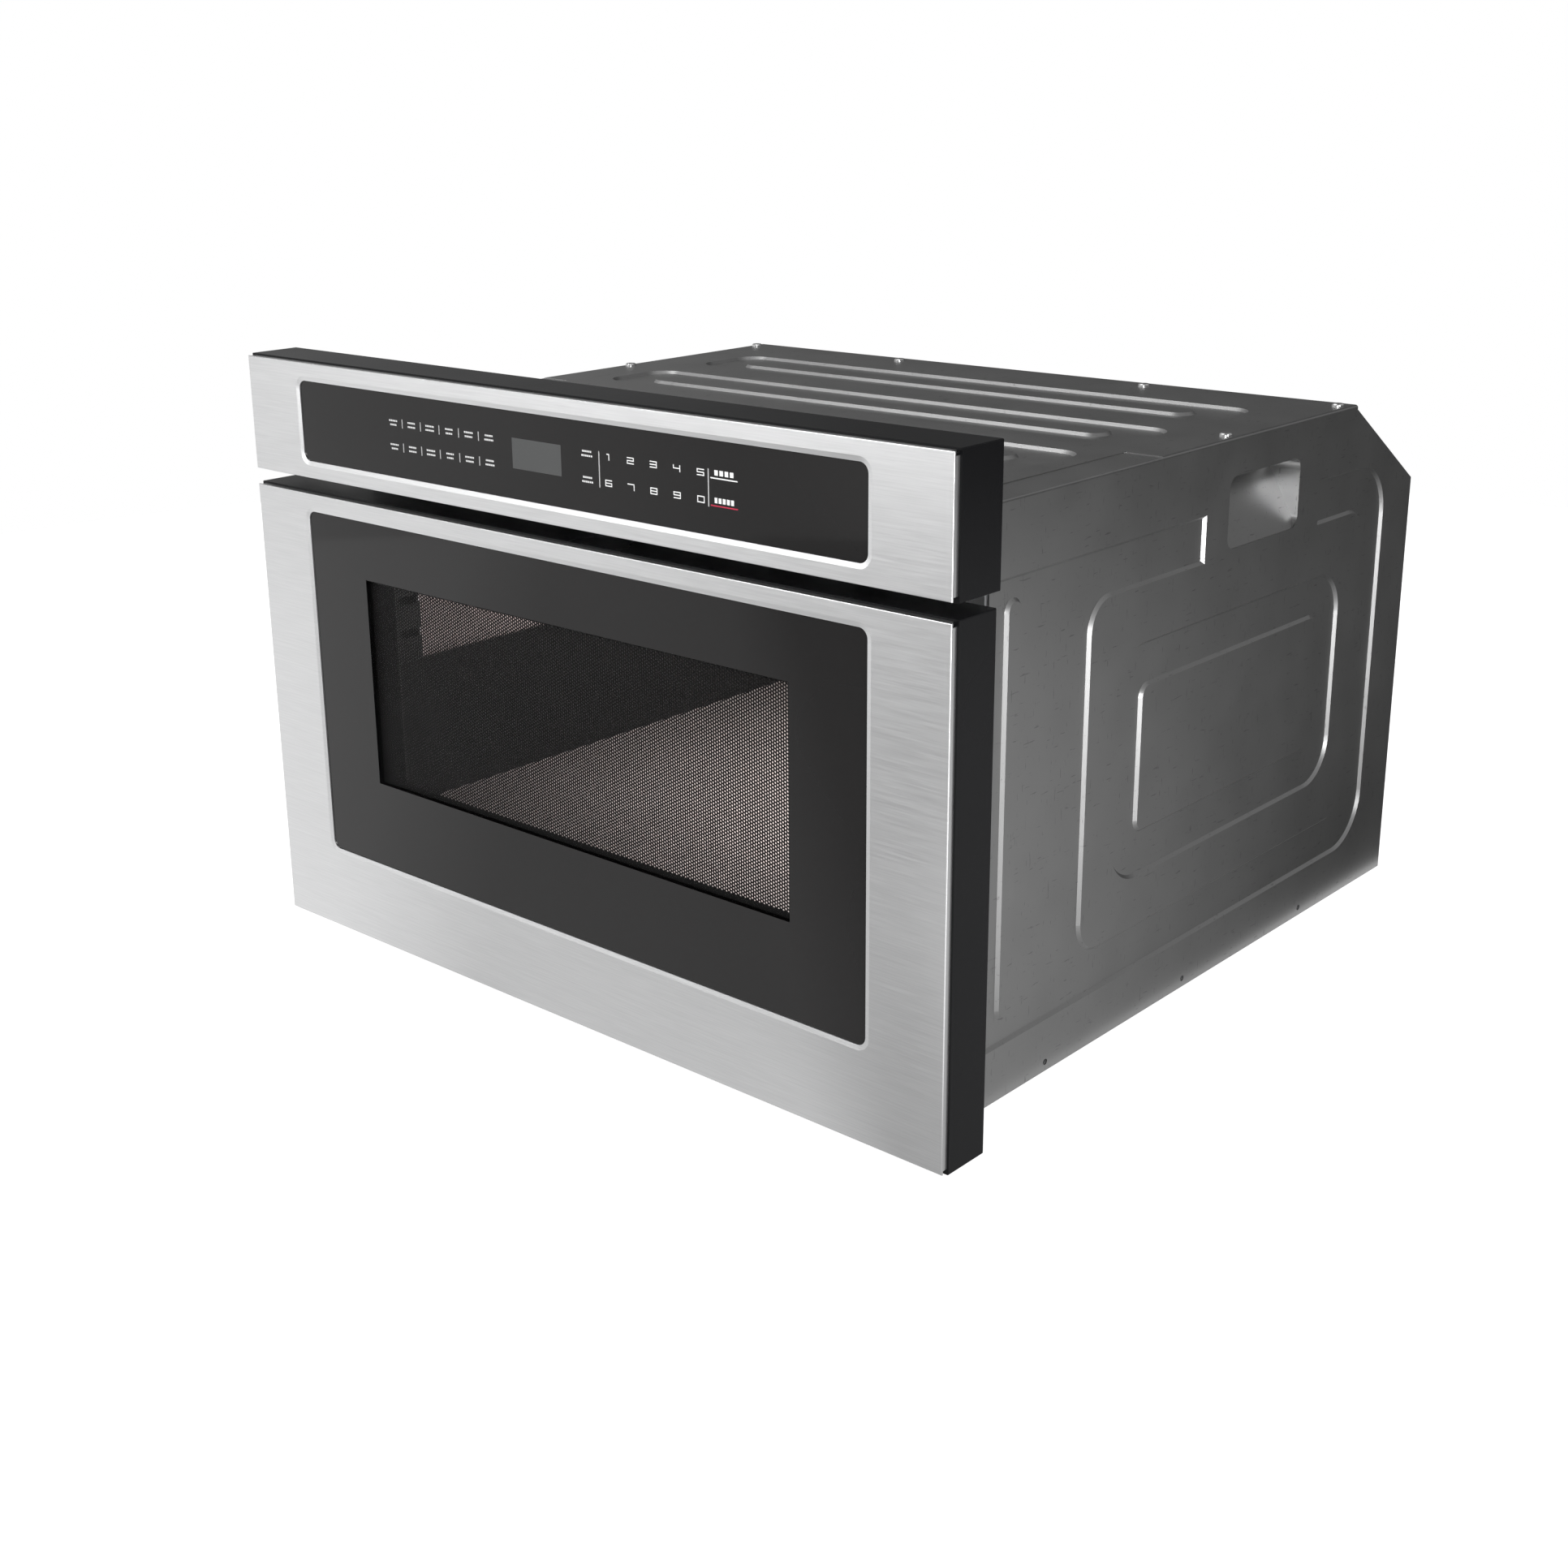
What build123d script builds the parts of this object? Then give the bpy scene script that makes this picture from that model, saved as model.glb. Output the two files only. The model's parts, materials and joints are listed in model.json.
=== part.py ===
from build123d import *
import math
import os

# Built-in microwave drawer, in millimetres. X runs across the front, Y runs from the front to the
# back, Z is up. The origin is the centre of the appliance on the surface that its pressed feet
# stand on. Depths are measured from the face of the drawer, towards the back.

# ------------------------------------------------------------------ overall envelope
overall_width = 600.0
overall_height = 408.0
overall_depth = 589.0

# ------------------------------------------------------------------ fits and clearances
seat_gap = 0.3  # a loose piece in its seat
slide_gap = 0.35  # between the members of a telescopic slide
shaft_play = 0.05  # radial, a shaft in its bore
tooth_slack = 0.3  # taken off the thickness of each tooth
screw_play = 0.2  # radial, a screw in a plain hole

# ------------------------------------------------------------------ front: skins, housings, glass
housing_lip = 1.3  # the black housing stands this far past its steel skin
housing_wall = 3.0
housing_radius = 0.8
skin_sheet = 0.8
skin_return = 4.7  # depth of the skin's folded edge
corner_notch = 2.4  # the folded edges stop short of the corners
notch_start = 0.4  # behind the inner face of the skin
skin_round = 0.6
rim_width = 3.0  # bevelled rim round each glass
rim_sink = 0.7
rim_corner = 6.0
glass_sheet = 4.0
glass_cover = 8.0  # hidden behind the skin, each side
control_height = 79.9
control_depth = 40.2
control_glass_side = 56.5
control_glass_low = 12.8
control_glass_top = 13.2
reveal_gap = 8.4  # between the control panel and the drawer
floor_gap = 0.8
drawer_front_depth = 37.1
drawer_glass_side = 56.6
drawer_glass_low = 61.6
drawer_glass_top = 13.4
window_side = 56.5  # dark band of the glass beside the window
window_low = 60.4
window_top = 40.0
screen_sheet = 0.5
opening_side = 40.4  # from the edge of the glass to the housing's own window
opening_low = 37.6
opening_top = 42.3
opening_corner = 6.0
screen_border = 12.0  # the screen reaches past the window
screen_corner = 4.0
back_plate_sheet = 0.8
rib_sheet = 2.5
rib_count = 5
past = 1.0  # how far a cutter reaches past what it cuts
far_past = 20.0

# ------------------------------------------------------------------ boards behind the control glass
touch_left = -150.0
touch_right = 165.0
touch_inset = 4.0
touch_corner = 3.0
neck_inset = 4.0  # the housing's neck, inside the cabinet's sides
roof_sheet = 2.0
board_stand = 6.0
board_sheet = 1.6
board_half = 190.0
board_over = 2.0
board_leg = 8.0
board_leg_inset = 10.0
board_leg_height = 6.0
chip_places = (-120.0, -60.0, 40.0, 110.0)
chip_width = 16.0
chip_height = 14.0
chip_thick = 2.4
chip_drop = 9.0  # below the middle of the control glass
relay_places = (-150.0, -90.0, 80.0, 140.0)
relay_width = 14.0
relay_height = 18.0
relay_thick = 14.4
relay_rise = 13.0  # above the middle of the control glass
display_centre = -12.0
display_width = 68.0
display_height = 28.0
display_rise = 2.0
display_behind = 4.0

# ------------------------------------------------------------------ cabinet
side_overhang = 29.3  # the front stands out past the cabinet, each side
cabinet_front = 73.0
cabinet_drop = 41.7  # the cabinet's top, below the top of the control panel
cabinet_sheet = 0.8
emboss = 2.0
flange_width = 14.0
bend_radius = 3.0
top_radius = 2.0
foot_height = 2.4
foot_radius = 14.0
foot_inset = 60.0
foot_angle = 40.0  # degrees, the side of a foot
pan_sheet = 1.0
pan_flange = 14.0
plate_sheet = 1.2
plate_side_gap = 2.0
plate_slide_lap = 0.8  # the plate reaches over the outer slide's edge
plate_vent_count = 7
plate_vent_pitch = 62.0
plate_vent_length = 26.0
plate_vent_width = 5.0
plate_vent_rise = 10.0  # above the latch hooks
cable_way_half = 90.0
cable_way_drop = 8.0
cable_way_height = 18.0
cable_way_corner = 4.0
slope_run = 95.0  # sloping part of the back, in depth
tab_run = 22.0  # of the rear panel, under the top cover
slope_fall = 61.9
skirt_height = 9.3
side_hole_radius = 2.0
side_hole_height = 8.5
side_hole_first = 141.5
side_hole_pitch = 159.8
side_hole_count = 3
edge_screw_depth = 330.8
rear_row_inset = 14.0  # the rear row of screws, in front of the slope
rear_row_x = (-112.0, 112.0)
rear_screw_low = 40.0
rear_screw_middle = 160.0
rear_screw_drop = 20.0  # the top ones, below the slope
press_angle = 45.0  # degrees, the side of a pressed form

# Relief of the side panels: depths from the front, each form inset from the one round it.
relief_rear = 545.0
relief_low = 39.2
relief_drop = 45.4  # below the panel's top
relief_corner = 37.0
ring_front = 173.0
ring_rear = 518.0
ring_inset_low = 26.4
ring_inset_high = 26.8
ring_corner = 22.0
bridge_front = 298.7
bridge_rear = 450.0
bridge_corner = 8.0
field_front = 207.0
field_rear = 486.0
field_inset_low = 37.3
field_inset_high = 40.2
field_corner = 29.0
plateau_front = 233.0
plateau_rear = 457.0
plateau_inset_low = 26.8
plateau_inset_high = 24.8
plateau_corner = 9.0
bead_front = 89.0
bead_flat = 0.01
bead_width = 16.0
bead_inset_low = 13.5
bead_inset_high = 10.9

# Carrying pocket in each side panel.
pocket_front = 327.5
pocket_rear = 418.7
pocket_drop = 23.6  # below the panel's top
pocket_height = 46.9
pocket_corner = 8.0
pocket_depth = 27.0

# Relief of the top cover.
top_field_half = 227.0
top_field_run = 60.0
top_field_first = 166.0
top_field_pitch = 103.0
top_field_count = 3
top_field_corner = 15.0
top_rib_half = 200.0
top_rib_run = 24.0
rib_flat = 0.5
top_rib_middle = 28.2  # from the front of its field
top_step_half = 245.0
top_step_rear = 245.0
top_step = 0.6

# ------------------------------------------------------------------ cavity and tray
cavity_sheet = 0.8
cavity_side = 17.0  # from the rack to the cavity's inside
cavity_rise = 10.0  # from the slides to the cavity's floor
head_space = 94.3  # above the cavity
rear_space = 92.0  # behind the cavity
cavity_corner = 10.0
tray_side_gap = 4.8
tray_floor_gap = 4.0
tray_rear_gap = 7.0
tray_wall = 2.0
tray_height = 110.0
tray_front = 66.8
tray_corner = 16.0
tray_rim = 1.2
base_sheet = 4.0
stirrer_radius = 55.0
stirrer_hole = 30.0
stirrer_width = 26.0
stirrer_short = 44.0  # half of its shorter blade
stirrer_blade = 1.0
spindle_radius = 3.0
spindle_reach = 8.0  # into its motor
stirrer_drop = 9.0
cover_drop = 17.0
cover_sheet = 1.0
cover_margin = 20.0  # round the stirrer
cover_corner = 14.0
lamp_depth = 200.0
lamp_drop = 40.0  # below the cavity's ceiling
lamp_rows = 4
lamp_hole_pitch = 8.0
lamp_hole_radius = 2.0
lamp_box_depth = 40.0
lamp_box_height = 36.0
lamp_box_width = 30.0
lamp_box_sheet = 1.0
bulb_radius = 8.5
bulb_length = 15.0
bulb_base_radius = 6.0
bulb_base_length = 10.0
bulb_bevel = 4.0

# ------------------------------------------------------------------ choke round the drawer's mouth
choke_gap = 0.5
choke_sheet = 1.2
choke_reach = 28.0  # past the mouth, each side
choke_inset = 3.0
choke_step = 2.0  # above and below, inside the mouth
choke_above_slides = 8.0
choke_corner = 4.0
tongue_drop = 26.0
tongue_inset = 11.0
slot_pitch = 24.0
slot_width = 6.0
slot_run = 18.0
slot_margin = 15.0
web_side = 18.0
web_low = 20.0
web_top = 6.0
pane_sheet = 3.0
pane_cover = 5.0
choke_cover_sheet = 1.6

# ------------------------------------------------------------------ slides and drive
drawer_travel = 370.0
bracket_gap = 1.9
bracket_sheet = 1.5
bracket_foot = 16.0
bracket_rise = 4.0  # above the slide
slide_sheet = 1.5
slide_rise = 22.6  # above the pan's floor
slide_height = 42.0
slide_width = 13.5
slide_overlap = 50.0  # still nested when the drawer is open
middle_short = 20.0
slide_room = 2.0  # round the slides, in the front plate
slide_start = 3.0
shoe_sheet = 2.0
shoe_inset = 4.0
slide_lip = 3.5
neck_out = 2.0
rack_width = 8.0
rack_overlap = 30.0  # still in mesh when the drawer is open
rack_room = 2.5
rack_start = 90.0
rack_body = 11.0
gear_module = 2.0
pinion_teeth = 14
pressure_angle = math.radians(25.0)
shaft_radius = 4.0
shaft_depth = 100.0
shaft_height = 30.0
bearing_width = 12.0
bearing_gap = 7.0
bearing_half = 14.0
bearing_crown = 12.0
bearing_round = 10.0
bearing_foot_half = 22.0
bearing_foot = 4.0
fine_module = 1.5
driven_teeth = 30
motor_teeth = 15
fine_width = 8.0
driven_offset = 186.0
driven_hub = 4.0
driven_hub_length = 5.0
motor_shaft_radius = 3.0
gearbox_gap = 1.5
gearbox_length = 34.0
gearbox_room = 6.0  # behind the drive shaft
gearbox_behind = 30.0
gearbox_above = 26.0
gearbox_round = 8.0
motor_radius = 18.0
motor_length = 56.0
motor_behind = 8.0
motor_above = 2.0

# ------------------------------------------------------------------ latches and interlocks
hook_sheet = 3.0
hook_side = 12.0  # hook's centre, outside the mouth
hook_height = 9.0
hook_lift = 3.0
hook_reach = 55.0
hook_base = 8.0
hook_base_sheet = 2.0
hook_room = 4.0  # each side, in the front plate
nose_drop = 3.0
nose_start = 14.0  # from the hook's tip
nose_end = 4.0
nose_bevel = 3.0
plunger_size = 4.0
plunger_length = 9.0
switch_width = 12.0
switch_length = 28.0
switch_height = 16.0
switch_gap = 3.0  # between the hook and the switch's case
holder_sheet = 2.0
holder_rise = 3.0
holder_height = 20.0

# ------------------------------------------------------------------ power and cooling parts
guide_depth = 80.0
guide_height = 41.6
guide_left = -44.0
guide_right = 190.0
tube_length = 64.0
tube_height = 80.0
guide_sheet = 1.0
guide_flange = 10.0
antenna_gap = 3.0
fin_gap = 2.0
tube_lift = 1.5
tube_sheet = 1.6
tube_core = 18.0
tube_magnet = 27.0
tube_magnet_length = 10.4
antenna_radius = 9.5
antenna_length = 26.0
fin_count = 6
fin_sheet = 0.8
transformer_width = 96.0
transformer_depth = 74.0
transformer_height = 78.0
transformer_x = 165.0
transformer_gap = 6.0  # behind the cavity
transformer_yoke = 14.0
coil_gap = 1.0
coil_overhang = 5.0
coil_corner = 6.0
capacitor_radius = 19.0
capacitor_length = 84.0
capacitor_x = 55.0
capacitor_behind = 36.0  # from the back of the cavity to its centre
capacitor_lift = 1.0
capacitor_bevel = 2.0
clamp_sheet = 1.0
clamp_half = 8.0
clamp_foot = 14.0
filter_left = -110.0
filter_right = -30.0
filter_gap = 10.0  # behind the cavity
filter_depth = 70.0
filter_stand = 8.0
filter_leg_radius = 3.0
filter_coil_radius = 9.0
filter_coil_height = 20.4
filter_block_width = 18.0
filter_block_depth = 26.0
filter_block_height = 16.4
filter_inset = 6.0
inlet_radius = 11.0
inlet_x = -60.0
inlet_z = 60.0
gland_flange = 4.0
gland_bore = 4.0
gland_length = 12.0
gland_play = 0.2
fan_x = -150.0
fan_height = 152.0
fan_frame = 128.0
fan_frame_run = 36.0
fan_bore = 56.0
fan_tip_gap = 1.5
fan_hub = 19.0
blade_count = 7
blade_sheet = 1.6
blade_chord = 26.0
fan_motor_radius = 24.0
fan_motor_length = 26.0
fan_shaft = 2.5
fan_corner = 8.0
fan_arm_width = 6.0
fan_arm_sheet = 3.0
fan_arm_seat = 8.0  # onto the frame
fan_ring = 5.0
fan_motor_sink = 1.0
fan_hub_gap = 1.5
fan_rear_gap = 4.0
fan_hub_bevel = 3.0
blade_angle = 35.0  # degrees
motor_bevel = 2.0
stirrer_motor_radius = 24.0
stirrer_motor_height = 16.0
stirrer_motor_ear = 32.0
stirrer_motor_ear_half = 8.0
stirrer_motor_ear_sheet = 1.0
vent_rows = 9
vent_pitch = 11.0
vent_length = 84.0
vent_width = 4.5
second_vent_height = 190.0
screw_head = 4.2
screw_head_height = 2.0
screw_shank = 1.9
screw_length = 9.0
sink_height = 1.6

# ------------------------------------------------------------------ worked out from the above
front_y = -overall_depth / 2
half_width = overall_width / 2
skin_half = half_width - housing_lip
control_bottom = overall_height - control_height
drawer_bottom = floor_gap
drawer_top = control_bottom - reveal_gap

control_glass_half = half_width - control_glass_side
drawer_glass_half = half_width - drawer_glass_side
window_half = drawer_glass_half - window_side
glass_front = rim_sink + skin_sheet
glass_back = glass_front + glass_sheet
screen_back = glass_back + screen_sheet
control_glass_z = (control_bottom + control_glass_low, overall_height - control_glass_top)
drawer_glass_z = (drawer_bottom + drawer_glass_low, drawer_top - drawer_glass_top)
window_z = (drawer_glass_z[0] + window_low, drawer_glass_z[1] - window_top)
opening_half = drawer_glass_half - opening_side
opening_z = (drawer_glass_z[0] + opening_low, drawer_glass_z[1] - opening_top)

panel_outer = half_width - side_overhang
panel_low = panel_outer - emboss
panel_inner = panel_low - cabinet_sheet
pan_half = panel_outer - cabinet_sheet
cabinet_top = overall_height - cabinet_drop
panel_top = cabinet_top - cabinet_sheet - top_step
plate_back = cabinet_front + plate_sheet
panel_front = plate_back
panel_rear = overall_depth - cabinet_sheet
slope_start = overall_depth - slope_run
relief_high = panel_top - relief_drop
ring_low = relief_low + ring_inset_low
ring_high = relief_high - ring_inset_high
field_low = ring_low + field_inset_low
field_high = ring_high - field_inset_high
plateau_low = field_low + plateau_inset_low
plateau_high = field_high - plateau_inset_high
bead_low = relief_low + bead_inset_low
bead_high = relief_high - bead_inset_high
pocket_high = panel_top - pocket_drop
pocket_low = pocket_high - pocket_height
slope_low = panel_top - slope_fall
slope_angle = math.atan2(slope_fall, slope_run)
pan_top = foot_height + pan_sheet
flange_inner = panel_outer - flange_width
top_screw_x = panel_outer - flange_width / 2
rear_row_depth = slope_start - rear_row_inset
slide_length = drawer_travel + slide_overlap
middle_length = slide_length - middle_short
rack_length = drawer_travel + rack_overlap

bracket_outer = panel_inner - bracket_gap
slide_outer = bracket_outer - bracket_sheet
slide_inner = slide_outer - slide_width
slide_low = pan_top + slide_rise
slide_high = slide_low + slide_height
neck_face = slide_inner - neck_out
rack_inner = neck_face - rack_width

mouth_half = rack_inner - cavity_side
cavity_floor = slide_high + cavity_rise
cavity_ceiling = cabinet_top - head_space
cavity_back = overall_depth - rear_space
tray_half = mouth_half - tray_side_gap
tray_low = cavity_floor + tray_floor_gap
tray_top = tray_low + tray_height
tray_back = cavity_back - tray_rear_gap

choke_back = cabinet_front - choke_gap
choke_half = mouth_half + choke_reach
choke_top = cavity_ceiling + choke_reach
choke_low = slide_high + choke_above_slides
choke_in_half = mouth_half - choke_inset
choke_in_z = (cavity_floor + choke_step, cavity_ceiling - choke_step)
tongue_half = rack_inner - tongue_inset
tongue_low = choke_low - tongue_drop
web_half = choke_in_half - web_side
web_z = (choke_in_z[0] + web_low, choke_in_z[1] - web_top)
web_back = drawer_front_depth + choke_sheet

pinion_radius = gear_module * pinion_teeth / 2
driven_radius = fine_module * driven_teeth / 2
motor_gear_radius = fine_module * motor_teeth / 2
motor_depth = shaft_depth + driven_radius + motor_gear_radius
rack_line = shaft_height + pinion_radius
rack_top = rack_line + 1.25 * gear_module + rack_body
bearing_outer = rack_inner - bearing_gap
gearbox_face = driven_offset - gearbox_gap
stirrer_depth = (cabinet_front + cavity_back) / 2
guide_low = cavity_ceiling + cavity_sheet
guide_high = guide_low + guide_height
antenna_z = guide_low + guide_height / 2
lamp_z = cavity_ceiling - lamp_drop
rear_parts_front = cavity_back + cavity_sheet
hook_x = mouth_half + hook_side
hook_low = choke_top + hook_lift
hook_high = hook_low + hook_height
hook_tip = drawer_front_depth + hook_reach

glass_middle_z = sum(control_glass_z) / 2
upright = Rot(0, 0, 0)
backward = Rot(-90, 0, 0)

pieces = {}


# ------------------------------------------------------------------ drawing helpers
def slab(x0, x1, depth0, depth1, z0, z1):
    """A block given by its limits."""
    centre = Pos((x0 + x1) / 2, front_y + (depth0 + depth1) / 2, (z0 + z1) / 2)
    return centre * Box(x1 - x0, depth1 - depth0, z1 - z0)


def field(a0, a1, b0, b1, corner=0.0):
    """A flat rectangle given by its limits, with rounded corners if asked."""
    centre = Pos((a0 + a1) / 2, (b0 + b1) / 2)
    if corner > 0:
        return centre * RectangleRounded(a1 - a0, b1 - b0, corner)
    return centre * Rectangle(a1 - a0, b1 - b0)


def outline(points):
    """A flat face inside a closed line through the points."""
    return make_face(Polyline(*points, close=True))


def facing_front(depth):
    """A sketch plane of X and Z that looks out of the front."""
    return Plane(origin=(0, front_y + depth, 0), x_dir=(1, 0, 0), z_dir=(0, -1, 0))


def facing_right(x):
    """A sketch plane of depth and Z that looks to the right."""
    return Plane(origin=(x, front_y, 0), x_dir=(0, 1, 0), z_dir=(1, 0, 0))


def facing_up(z):
    """A sketch plane of X and depth that looks up."""
    return Plane(origin=(0, front_y, z), x_dir=(1, 0, 0), z_dir=(0, 0, 1))


def through(sketch, depth0, depth1):
    """A sketch of X and Z, filled from one depth to another."""
    return extrude(facing_front(depth1) * sketch, amount=depth1 - depth0)


def across(sketch, x0, x1, taper=0.0):
    """A sketch of depth and Z, filled from one X to another."""
    return extrude(facing_right(x0) * sketch, amount=x1 - x0, taper=taper)


def upward(sketch, z0, z1, taper=0.0):
    """A sketch of X and depth, filled from one height to another."""
    return extrude(facing_up(z0) * sketch, amount=z1 - z0, taper=taper)


def rod(radius, x0, x1, depth, z):
    """A round bar along X."""
    return extrude(facing_right(x0) * Pos(depth, z) * Circle(radius), amount=x1 - x0)


def post(radius, x, depth, z0, z1):
    """A round bar along Z."""
    return extrude(facing_up(z0) * Pos(x, depth) * Circle(radius), amount=z1 - z0)


def axle(radius, x, z, depth0, depth1):
    """A round bar along the depth."""
    return through(Pos(x, z) * Circle(radius), depth0, depth1)


def add_pair(name, right_piece):
    """Keep a right-hand piece and its mirror image."""
    pieces["right_" + name] = right_piece
    pieces["left_" + name] = mirror(right_piece, about=Plane.YZ)


def add_two(name, right_piece):
    """Keep a right-hand piece and its mirror image as a group of two."""
    pieces[name] = Part() + [right_piece, mirror(right_piece, about=Plane.YZ)]


def screw(at):
    """A pan-head screw at a location whose Z points out of the head."""
    head = Pos(0, 0, screw_head_height / 2) * Cylinder(screw_head, screw_head_height)
    head = chamfer(head.edges().sort_by(Axis.Z)[-1], screw_head_height * 0.4)
    return at * (head + screw_stem())


def screw_stem():
    """Shank of a screw below Z = 0, plain and six-sided in place of its thread."""
    return extrude(RegularPolygon(screw_shank, 6), amount=-screw_length)


def sink(grow=0.0):
    """Countersunk head flush at Z = 0, or its hole when grown."""
    return Pos(0, 0, -sink_height / 2) * Cone(screw_shank + grow, screw_head + grow, sink_height)


def sink_hole():
    """Hole for a countersunk screw."""
    radius = screw_shank + screw_play
    return sink(screw_play) + Pos(0, 0, -screw_length / 2) * Cylinder(radius, screw_length)


def facing(x, depth, z, turn):
    """A location for a screw: turn is a rotation that takes +Z to the head's direction."""
    return Pos(x, front_y + depth, z) * turn


# ------------------------------------------------------------------ steel skins and glasses
def skin(z0, z1, glass_half, glass_z):
    """A folded steel skin with a bevelled rim round its cut-out."""
    shell = slab(-skin_half, skin_half, 0, skin_return, z0, z1)
    shell = fillet(shell.faces().sort_by(Axis.Y)[0].edges(), skin_round)
    shell -= slab(
        -skin_half + skin_sheet, skin_half - skin_sheet, skin_sheet, skin_return,
        z0 + skin_sheet, z1 - skin_sheet)
    for x in (-skin_half, skin_half):
        for z in (z0, z1):
            shell -= slab(
                x - corner_notch, x + corner_notch, skin_sheet + notch_start, skin_return,
                z - corner_notch, z + corner_notch)
    hole = field(-glass_half, glass_half, *glass_z, rim_corner)
    wide = field(
        -glass_half - rim_width, glass_half + rim_width,
        glass_z[0] - rim_width, glass_z[1] + rim_width, rim_corner + rim_width)
    dish = loft([facing_front(0) * wide, facing_front(rim_sink) * hole], ruled=True)
    backing = Pos(0, skin_sheet, 0) * dish
    return shell + backing - dish - through(hole, -past, skin_return)


def glass(glass_half, glass_z):
    """A flat glass that reaches behind the skin all round."""
    pane = field(
        -glass_half - glass_cover, glass_half + glass_cover,
        glass_z[0] - glass_cover, glass_z[1] + glass_cover, rim_corner)
    return through(pane, glass_front, glass_back)


def housing(z0, z1, depth, glass_half, glass_z):
    """A moulded housing: outer rim, core inside the skin, and the seat of the glass."""
    rim = slab(-half_width, half_width, skin_return, depth, z0, z1)
    rim = fillet(rim.edges().filter_by(Axis.Y), housing_radius)
    inside = housing_lip + skin_sheet + seat_gap
    core = slab(
        -half_width + inside, half_width - inside, skin_sheet, skin_return,
        z0 + inside, z1 - inside)
    seat = glass_cover + seat_gap
    recess = slab(
        -glass_half - seat, glass_half + seat, 0, glass_back, glass_z[0] - seat, glass_z[1] + seat)
    rim_space = through(
        field(
            -glass_half - rim_width - seat_gap, glass_half + rim_width + seat_gap,
            glass_z[0] - rim_width - seat_gap, glass_z[1] + rim_width + seat_gap),
        0, glass_front)
    return rim + core - recess - rim_space


def make_control_panel():
    """Control panel across the top, with its boards."""
    low = control_bottom + housing_lip
    high = overall_height - housing_lip
    pieces["control_fascia"] = skin(low, high, control_glass_half, control_glass_z)
    pieces["control_glass"] = glass(control_glass_half, control_glass_z)

    body = housing(control_bottom, overall_height, control_depth, control_glass_half, control_glass_z)
    web = glass_back + housing_wall
    body -= slab(
        -half_width + housing_wall, half_width - housing_wall, web, control_depth,
        control_bottom + housing_wall, overall_height - housing_wall)
    window = through(
        field(
            touch_left, touch_right, control_glass_z[0] + touch_inset,
            control_glass_z[1] - touch_inset, touch_corner),
        glass_back, web)
    neck_low = control_bottom + housing_wall
    neck_half = panel_low - neck_inset
    neck = slab(-neck_half, neck_half, control_depth, cabinet_front, neck_low, panel_top)
    neck -= slab(
        -neck_half + housing_wall, neck_half - housing_wall, control_depth, cabinet_front,
        neck_low + housing_wall, panel_top - housing_wall)
    collar = slab(
        -neck_half, neck_half, control_depth - housing_wall, control_depth, neck_low, panel_top)
    collar -= slab(
        -neck_half + housing_wall, neck_half - housing_wall, 0, control_depth,
        neck_low + housing_wall, panel_top - housing_wall)
    roof = slab(
        -half_width + housing_wall, half_width - housing_wall, control_depth - roof_sheet, control_depth,
        panel_top - housing_wall, overall_height - housing_wall)
    pieces["control_housing"] = body - window + neck + collar + roof

    board_front = web + board_stand
    board_back = board_front + board_sheet
    board = slab(
        -board_half, board_half, board_front, board_back,
        control_glass_z[0] - board_over, control_glass_z[1] + board_over)
    leg_x = board_half - board_leg_inset
    legs = [
        slab(x - board_leg / 2, x + board_leg / 2, web, board_front, z, z + board_leg_height)
        for x in (-leg_x, leg_x)
        for z in (control_glass_z[0], control_glass_z[1] - board_leg_height)]
    chip_z = glass_middle_z - chip_drop
    chips = [
        slab(x - chip_width / 2, x + chip_width / 2, board_back, board_back + chip_thick,
             chip_z - chip_height / 2, chip_z + chip_height / 2)
        for x in chip_places]
    relay_z = glass_middle_z + relay_rise
    relays = [
        slab(x - relay_width / 2, x + relay_width / 2, board_back, board_back + relay_thick,
             relay_z - relay_height / 2, relay_z + relay_height / 2)
        for x in relay_places]
    pieces["control_board"] = Part() + [board] + legs + chips + relays
    display_z = glass_middle_z + display_rise
    pieces["display_module"] = slab(
        display_centre - display_width / 2, display_centre + display_width / 2,
        glass_back, web + display_behind,
        display_z - display_height / 2, display_z + display_height / 2)


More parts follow.
